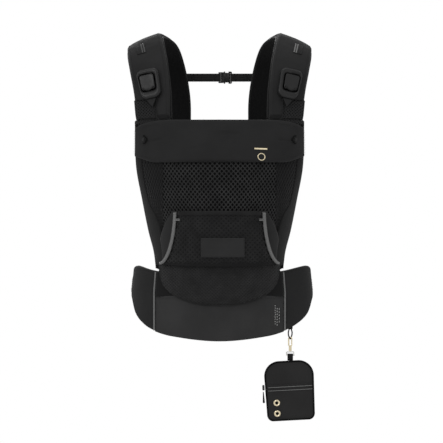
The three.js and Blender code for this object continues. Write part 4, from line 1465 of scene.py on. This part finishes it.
def crease(x, z, x0, z0, x1, z1, width, depth):
    """A soft groove along a line on the flap."""
    span = np.array([x1 - x0, z1 - z0], float)
    length = np.linalg.norm(span)
    ahead = span / length
    along = (x - x0) * ahead[0] + (z - z0) * ahead[1]
    off = -(x - x0) * ahead[1] + (z - z0) * ahead[0]
    fade = np.clip(np.minimum(along, length - along) / (0.3 * length) + 0.15, 0, 1)
    return -depth * np.exp(-((off / width) ** 2)) * fade


def flap_relief(u, v):
    """The head support's creases, fill and gentle waves."""
    x = flap_x(u)
    z = flap_low(np.abs(x)) + (flap_high(np.abs(x)) - flap_low(np.abs(x))) * v
    folds = sum(crease(np.abs(x), z, *line) for line in EAR_CREASES)
    folds = sum((crease(x, z, *line) for line in MIDDLE_CREASES), folds)
    filled = FILLED["flap"]((u + 1) / 2, v)
    return folds + filled + 0.5 * np.sin(x / 23 + 1.3) * np.sin(z / 17)


def make_flap():
    """The head support, with its stitching, buttons, loops and badge."""
    flap = padded_sheet("head_support_pad", flap_place, 3.0, 8.0, cosine_steps(110, -1, 1, 0.4),
                        cosine_steps(36, 0, 1, 0.5), CLOTH, "head_support", edge=7, crown=4.5,
                        relief=flap_relief, replaces="head_support", slot="fabric")
    us, vs = border(frame_corners(0.965, 0.09, 0.91), 60)
    stitches("head_support_stitching", on_surface(flap_place, us, vs, 10.4), "head_support")
    for side, name in SIDES:
        make_snap_loop(side, name)
    make_flap_badge()


def make_snap_loop(side, name):
    """A small domed button, with a dark elastic loop that points towards the middle."""
    centre = panel_point(BUTTON_X, BUTTON_Z) * (side, 1, 1)
    out = unit(centre * (1, 1, 0))
    up = np.array((0, 0, 1.0))
    across = unit(np.cross(up, -out))
    basis = np.stack([across, -out, up], -1)
    dome = outline_rounded(9.6, 9.6, 4.7, 6)
    rings = [(dome, -8.6), (dome, -11.0), (dome * 0.86, -12.0), (dome * 0.55, -12.6), (dome * 0.2, -12.8)]
    lofted(f"snap_button_{name}_dome", rings, centre, basis, PATCH, "head_support",
           replaces=f"snap_button_{name}", slot="moulded")
    inwards = -side * np.sign(across[0])
    loop = [(across_mm * inwards, depth, z) for across_mm, depth, z in (
        (-1, -10.9, 8.6), (4.5, -11.2, 7.4), (8.5, -11.2, 3.6), (11.5, -11.0, 0), (8.5, -11.2, -3.6),
        (4.5, -11.2, -7.4), (-1, -10.9, -8.6))]
    loop, _ = smooth_line(np.array(loop), 40)
    cord_mesh(f"snap_loop_{name}", placed(loop, centre, basis), 1.5, BACKING_AND_SHADE, "head_support",
              slot="webbing")


def make_flap_badge():
    """A plain metal bar above a plain metal ring."""
    def bar(u, v):
        return panel_point(89 + 14.2 * u, 431.8 + 2.1 * (2 * v - 1))

    padded_sheet("flap_bar", bar, 11.4, 13.4, np.linspace(-1, 1, 25), np.linspace(0, 1, 7), GOLD,
                 "head_support", edge=0.7, slot="gold")
    turn = np.linspace(0, 2 * math.pi, 49)[:-1]
    ring = on_surface(panel_point, 90 + 7.4 * np.cos(turn), 414 + 7.4 * np.sin(turn), 11.8)
    cord_mesh("flap_ring", ring, 1.2, GOLD, "head_support", closed=True, slot="gold")


# ------------------------------------------------------------------ strap ends

SIDE_ANCHOR = np.array((163.0, -38, 285))
STRAP_END = np.array((116.0, 97, 388))
SIDE_WEBBING = 25

def line_basis(start, end):
    """Axes with X from start to end, and Z as near upright as it can be."""
    x = unit(end - start)
    y = unit(np.cross((0, 0, 1.0), x))
    return np.stack([x, y, np.cross(x, y)], -1)


def flat_strap(name, x0, x1, half, thick, origin, basis, body, count=40, **options):
    """A straight ribbed webbing with rolled edges, in a frame whose X runs along it."""
    def place(u, v):
        u, v = pair(u, v)
        local = np.stack([u, np.zeros(u.shape), v], -1)
        return placed(local, origin, basis)

    return padded_sheet(name, place, -thick / 2, thick / 2, np.linspace(x0, x1, count),
                        np.linspace(-half, half, 11), WEBBING, body, edge=thick * 0.45, slot="webbing",
                        **options), place


def ribbon(name, path, half, thick, origin, basis, body, **options):
    """Webbing that follows a path of (x, y) in a frame, its width along the frame's Z."""
    line, _ = smooth_line(np.column_stack([path, np.zeros(len(path))]), 60)

    def place(u, v):
        u, v = pair(u, v)
        local = on_line(line, u)
        local[..., 2] = v
        return placed(local, origin, basis)

    return padded_sheet(name, place, -thick / 2, thick / 2, np.linspace(0.002, 0.998, 60),
                        np.linspace(-half, half, 11), WEBBING, body, edge=thick * 0.45, slot="webbing",
                        **options)


def slot_webbing(name, slot, bar, half, thick, origin, basis, body):
    """The layers of webbing that fill a buckle's slot."""
    outline = outline_rounded(thick, 2 * half, thick * 0.3, 3) + (slot, 0)
    rings = [(shrink(outline, thick * 0.2), -bar), (outline, -bar * 0.7), (outline, bar * 0.7),
             (shrink(outline, thick * 0.2), bar)]
    lofted(name, rings, origin, basis, WEBBING, body, slot="webbing")


def buckle_webbing(name, webbing, origin, basis, housing_body, insert_body, thick):
    """Webbing through both ends of a side-release buckle: round the end bar and back."""
    length, base, bar = webbing * 0.95 + 2, webbing * 0.55, (5 + webbing * 0.16) / 2 + thick * 0.6
    ends = (("housing", housing_body, 1, length * 0.86, length, 1, bar, 0.75, 0.6, length * 0.12 - 0.2),
            ("insert", insert_body, -1, -0.6 - base * 0.61, -0.6 - base, 0.6, bar * 0.62 + 0.4, 0.7, 0.3,
             base * 0.22 - 0.2))
    for end_name, body, way, slot, end, inside, bar, waist, spare, slot_thick in ends:
        reach, over, near = end + way * 0.42 * webbing, end + way * 2, end - way * inside
        loop = [(reach, -thick * 0.5), (over, -bar), (near, -bar), (slot, -bar * waist), (slot, 0),
                (slot, bar * waist), (near, bar), (over, bar), (reach, thick * 0.6)]
        ribbon(f"{name}_{end_name}_loop", np.array(loop), webbing / 2 - 0.3, thick, origin, basis, body)
        slot_webbing(f"{name}_{end_name}_slot", slot, bar * 0.8, webbing / 2 + spare, slot_thick, origin,
                     basis, body)


def box_stitch(name, place, x0, x1, half, lift, body):
    """A sewn box with a cross in it, on both faces."""
    us, vs = border(crossed_corners(x0, x1, half), 8)
    for k, offset in enumerate((lift, -lift)):
        stitches(f"{name}_{k}", on_surface(place, us, vs, offset), body)


def make_strap_end(side, name):
    """The webbing from the panel's side through a buckle to the strap's rear end."""
    anchor, end = SIDE_ANCHOR * (side, 1, 1), STRAP_END * (side, 1, 1)
    basis = line_basis(anchor, end)
    length = np.linalg.norm(end - anchor)
    housing = SIDE_WEBBING * 0.95 + 2
    mouth = 30 + housing
    slack = mouth + SIDE_WEBBING * 0.55 + 1.5
    _, place = flat_strap(f"side_webbing_{name}_strap", 1.0, 31.5, 12.4, 2.3, anchor, basis, "carrier", 16,
                          replaces=f"side_webbing_{name}")
    box_stitch(f"side_webbing_box_{name}", place, 3.5, 15, 9, 1.5, "carrier")
    tail, place = flat_strap(f"strap_webbing_{name}_strap", slack - 3.5, length + 3, 12.4, 2.3, anchor,
                             basis, "carrier", 60, replaces=f"strap_webbing_{name}")
    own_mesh(tail)
    turned = np.stack([-basis[:, 0], -basis[:, 1], basis[:, 2]], -1)
    buckle_webbing(f"side_webbing_{name}", SIDE_WEBBING, anchor + basis[:, 0] * mouth, turned, "carrier",
                   f"side_insert_{name}", 2.0)
    rounded(f"side_buckle_housing_{name}", PLASTIC, 0.7)
    rounded(f"side_buckle_insert_{name}", PLASTIC, 0.5)


def make_side_anchor(side, name):
    """Webbing sewn behind the panel's side edge, which carries the side buckle."""
    basis = line_basis(SIDE_ANCHOR, STRAP_END)
    lead, tail = (SIDE_ANCHOR + basis[:, 0] * ahead for ahead in (16, 5))
    on_panel = [on_surface(panel_at, u, PANEL_EDGE_Z, -10.8).reshape(3) for u in (0.86, 0.91, 0.96)]
    past_edge = on_surface(panel_at, 1.0, PANEL_EDGE_Z, -9.6).reshape(3)
    line, _ = smooth_line(np.array([*on_panel, past_edge, tail, lead]), 40)
    slope = np.array((0.0, -0.2, 1.0))

    def place(u, v):
        u, v = pair(u, v)
        turn = np.clip((u - 0.45) / 0.4, 0, 1)[..., None]
        width = unit(slope) * (1 - turn) + basis[:, 2] * turn
        return on_line(line, u) + width * v[..., None]

    padded_sheet(f"side_anchor_{name}", place, -1.2, 1.2, np.linspace(0.005, 0.995, 50),
                 np.linspace(-12.4, 12.4, 13), WEBBING_DARK, "carrier", edge=0.8, mirror=side < 0,
                 slot="webbing")


# ------------------------------------------------------------------ neck strap

NECK_Y, NECK_Z = 128, 601
NECK_HALF = 9.5
SLIDER_X = 101


def make_neck_strap():
    """The two halves of the neck strap, with their buckle and sliders."""
    origin = np.array((0.0, NECK_Y, NECK_Z))
    basis = np.eye(3)
    right_start, left_end = 29.5, -3.2
    _, place = flat_strap("neck_webbing_right_strap", right_start - 2.5, SLIDER_X - 2, 9.3, 1.9, origin,
                          basis, "neck_strap", 60, replaces="neck_webbing_right")
    box_stitch("neck_box_right", place, 74, 86, 6.8, 1.3, "neck_strap")
    left, place = flat_strap("neck_webbing_left_strap", -SLIDER_X + 2, left_end, 9.3, 1.9, origin, basis,
                             "neck_strap", 60, replaces="neck_webbing_left")
    box_stitch("neck_box_left", place, -82, -60, 6.8, 1.3, "neck_strap")
    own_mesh(left)
    buckle_webbing("neck_webbing", 2 * NECK_HALF, origin + (8.6, 0, 0), basis, "neck_strap",
                   "neck_insert", 1.6)
    rounded("neck_buckle_housing", PLASTIC, 0.6)
    rounded("neck_buckle_insert", PLASTIC, 0.5)
    for _, name in SIDES:
        rounded(f"neck_slider_{name}", PLASTIC, 0.7)


# ------------------------------------------------------------------ cord and hook

HANG = np.array((160.0, -74, 0))
LOOP_LOW = 4.5
CORD_RADIUS = 1.5
CORD_ROUTE = np.array([
    (-2, 0.5, 27.5), (-4.2, -2.5, 19.5), (-3.4, -5.2, 11), (0, -3.5, 5.4), (0, 0, LOOP_LOW),
    (0, 3.5, 5.4), (3.4, 5.2, 11), (4.2, 2.5, 19.5), (2, -0.5, 27.5),
], float)


def make_cord():
    """The cord loop that the hook hangs on."""
    path, length = smooth_line(CORD_ROUTE + HANG, 25)
    cord = cord_mesh("cord_loop_cord", smooth_line(CORD_ROUTE + HANG, 60)[0], CORD_RADIUS, WEBBING,
                     "carrier", sides=12, replaces="cord_loop", slot="webbing")


def make_cord_anchor():
    """A dark tab under the waistband's edge, which the cord loop comes out of."""
    tab = outline_rounded(11, 11, 2.5, 4) + (0, 31.5)
    rings = [(shrink(tab, 0.8), -3.6), (tab, -2.8), (tab, 2.4), (shrink(tab, 0.8), 3.2)]
    lofted("cord_loop_anchor", rings, HANG, np.eye(3), WEBBING_DARK, "carrier", slot="webbing")


def make_hook():
    """The metal hook, gate and swivel, and the pouch's webbing tab."""
    rounded("snap_hook", GOLD, 0.9, 3)
    rounded("hook_gate", GOLD, 0.6, 2)
    rounded("swivel_eye", SILVER, 0.6, 2)
    tab = rounded("pouch_tab", WEBBING, 0.5, 2)


# ------------------------------------------------------------------ pouch

POUCH_MIDDLE = np.array((159.0, -74, -112.5))
SEAM_Z = 12
RIM_SHARE = 0.78
POUCH_AXES = np.array([(math.cos(POUCH_TILT), 0, -math.sin(POUCH_TILT)), (0, 1, 0),
                       (math.sin(POUCH_TILT), 0, math.cos(POUCH_TILT))])


def on_pouch(outline, y):
    """Points given by their X and Z in the pouch's frame, at depth y, in the carrier's millimetres."""
    return placed(np.column_stack([outline[:, 0], y, outline[:, 1]]), POUCH_MIDDLE, POUCH_AXES)


def pouch_outline(inset, steps=14):
    """The pouch's outline in X and Z, a little narrower towards its foot."""
    radii = tuple(max(r - inset, 3) for r in (14, 34, 34, 14))
    outline = outline_rounded(POUCH_WIDTH - 2 * inset, POUCH_HEIGHT - 2 * inset, radii, steps)
    narrow = 1 - 0.045 * np.clip((15 - outline[:, 1]) / 80, 0, 1)
    return outline * np.stack([narrow, np.ones(len(outline))], -1)


def pouch_face(x, z):
    """How far a pouch face stands out from the middle plane at local x, z."""
    across = np.clip(np.abs(x) / (POUCH_WIDTH / 2), 0, 1)
    along = np.clip(np.abs(z) / (POUCH_HEIGHT / 2), 0, 1)
    filled = FILLED["pouch"](x / POUCH_WIDTH + 0.5, z / POUCH_HEIGHT + 0.5)
    return (POUCH_DEPTH / 2 + 1.0) * (1 - 0.35 * across ** 3) * (1 - 0.35 * along ** 4) + filled


def make_pouch():
    """A stuffed pouch: two crowned faces joined by a flat gusset."""
    rings = []
    for scale in (0.02, 0.2, 0.4, 0.6, 0.8, 0.92):
        outline = pouch_outline(12) * scale
        rings.append((outline, -pouch_face(outline[:, 0], outline[:, 1])))
    for inset, share in ((12, 1.0), (6.5, 0.97), (3.2, 0.92), (1.4, 0.86), (0.5, RIM_SHARE), (0.3, 0.4),
                         (0.1, 0.0)):
        outline = pouch_outline(inset)
        rings.append((outline, -pouch_face(outline[:, 0], outline[:, 1]) * share))
    rings = rings + [(outline, -y) for outline, y in reversed(rings[:-1])]
    body = lofted("pouch_body_cloth", rings, POUCH_MIDDLE, POUCH_AXES, CLOTH_POUCH, "pouch",
                  replaces="pouch_body", slot="fabric")
    make_pouch_details()


def pouch_path(points, lift):
    """A line on the pouch's front face, from local (x, z) pairs."""
    return on_pouch(points, -pouch_face(points[:, 0], points[:, 1]) - lift)


def make_pouch_details():
    """Piping painted near black as the shade along the pouch's edge, reflective lines, seam, zip, and
    eyelets with painted shade in their holes.
    """
    rim = pouch_outline(1.9, 20)
    rim_y = pouch_face(rim[:, 0], rim[:, 1]) * 0.95
    # Painted shade: near-black piping set forward on each face, drawing the shaded edge of the gusset as a
    # dark line.
    for sign, name in ((-1, "front"), (1, "back")):
        cord_mesh(f"pouch_piping_shade_{name}", on_pouch(rim, sign * rim_y), 1.7, BACKING_AND_SHADE, "pouch",
                  closed=True, slot="webbing")
    for k, z in enumerate((9.2, 1.6)):
        line = np.column_stack([np.linspace(-49, 51, 60), np.full(60, float(z))])
        cord_mesh(f"pouch_line_{k}", pouch_path(line, 0.35), 0.95, TRIM, "pouch", slot="trim")
    seam = np.column_stack([np.linspace(-54, 54, 60), np.full(60, SEAM_Z + 4.0)])
    stitches("pouch_seam", pouch_path(seam, 0.3), "pouch")
    make_zip()
    for name, z in (("upper", -26), ("lower", -50)):
        rounded(f"eyelet_{name}", GOLD, 0.3, 2)
        # Painted shade: a near-black disc in each eyelet stands for the shade inside its hole.
        hole = outline_rounded(7.4, 7.4, 3.6, 8) + (-31, z)
        y = -pouch_face(np.array(-31.0), np.array(float(z)))
        lofted(f"eyelet_hole_shade_{name}", [(hole, float(y)), (hole, float(y) - 1.4)], POUCH_MIDDLE, POUCH_AXES,
               BACKING_AND_SHADE, "pouch", slot="fabric")


def make_zip():
    """Zip tape and coil round the pouch's edge, with its slider and cord puller."""
    rim = pouch_outline(0.8, 20)
    for y, radius, name in ((-3.6, 1.0, "front_tape"), (3.6, 1.0, "back_tape"), (0, 0.9, "coil")):
        material = PLASTIC_DARK_AND_GAP_SHADE if name == "coil" else WEBBING_DARK
        cord_mesh(f"zip_{name}", on_pouch(rim, np.full(len(rim), float(y))), radius, material, "pouch",
                  closed=True, slot="moulded" if name == "coil" else "webbing")
    rounded("zip_slider", PLASTIC_PALE, 0.8, 2)
    pull = outline_rounded(5.0, 26, 1.9, 5)
    pull[:, 0] *= np.where(pull[:, 1] > 0, 0.4, 1.0)
    pull = pull + (-POUCH_WIDTH / 2 - 4, -12.4)
    rings = [(shrink(pull, 1.2), -3.4), (pull, -2.2), (pull, 2.2), (shrink(pull, 1.2), 3.4)]
    lofted("zip_puller_cord", rings, POUCH_MIDDLE, POUCH_AXES, WEBBING_BLACK, "zip_pull",
           replaces="zip_puller", slot="moulded")


# ------------------------------------------------------------------ the whole carrier


def main():
    """Makes everything in turn."""
    fill_fabric()
    make_camera()
    make_cord()
    make_cord_anchor()
    make_panel()
    make_side_panels()
    make_pocket()
    make_seat()
    make_waistband()
    make_straps()
    for side, name in SIDES:
        make_pod(side, name)
        make_strap_end(side, name)
        make_side_anchor(side, name)
    make_flap()
    make_neck_strap()
    make_hook()
    make_pouch()
    make_stage()
    make_light()


main()
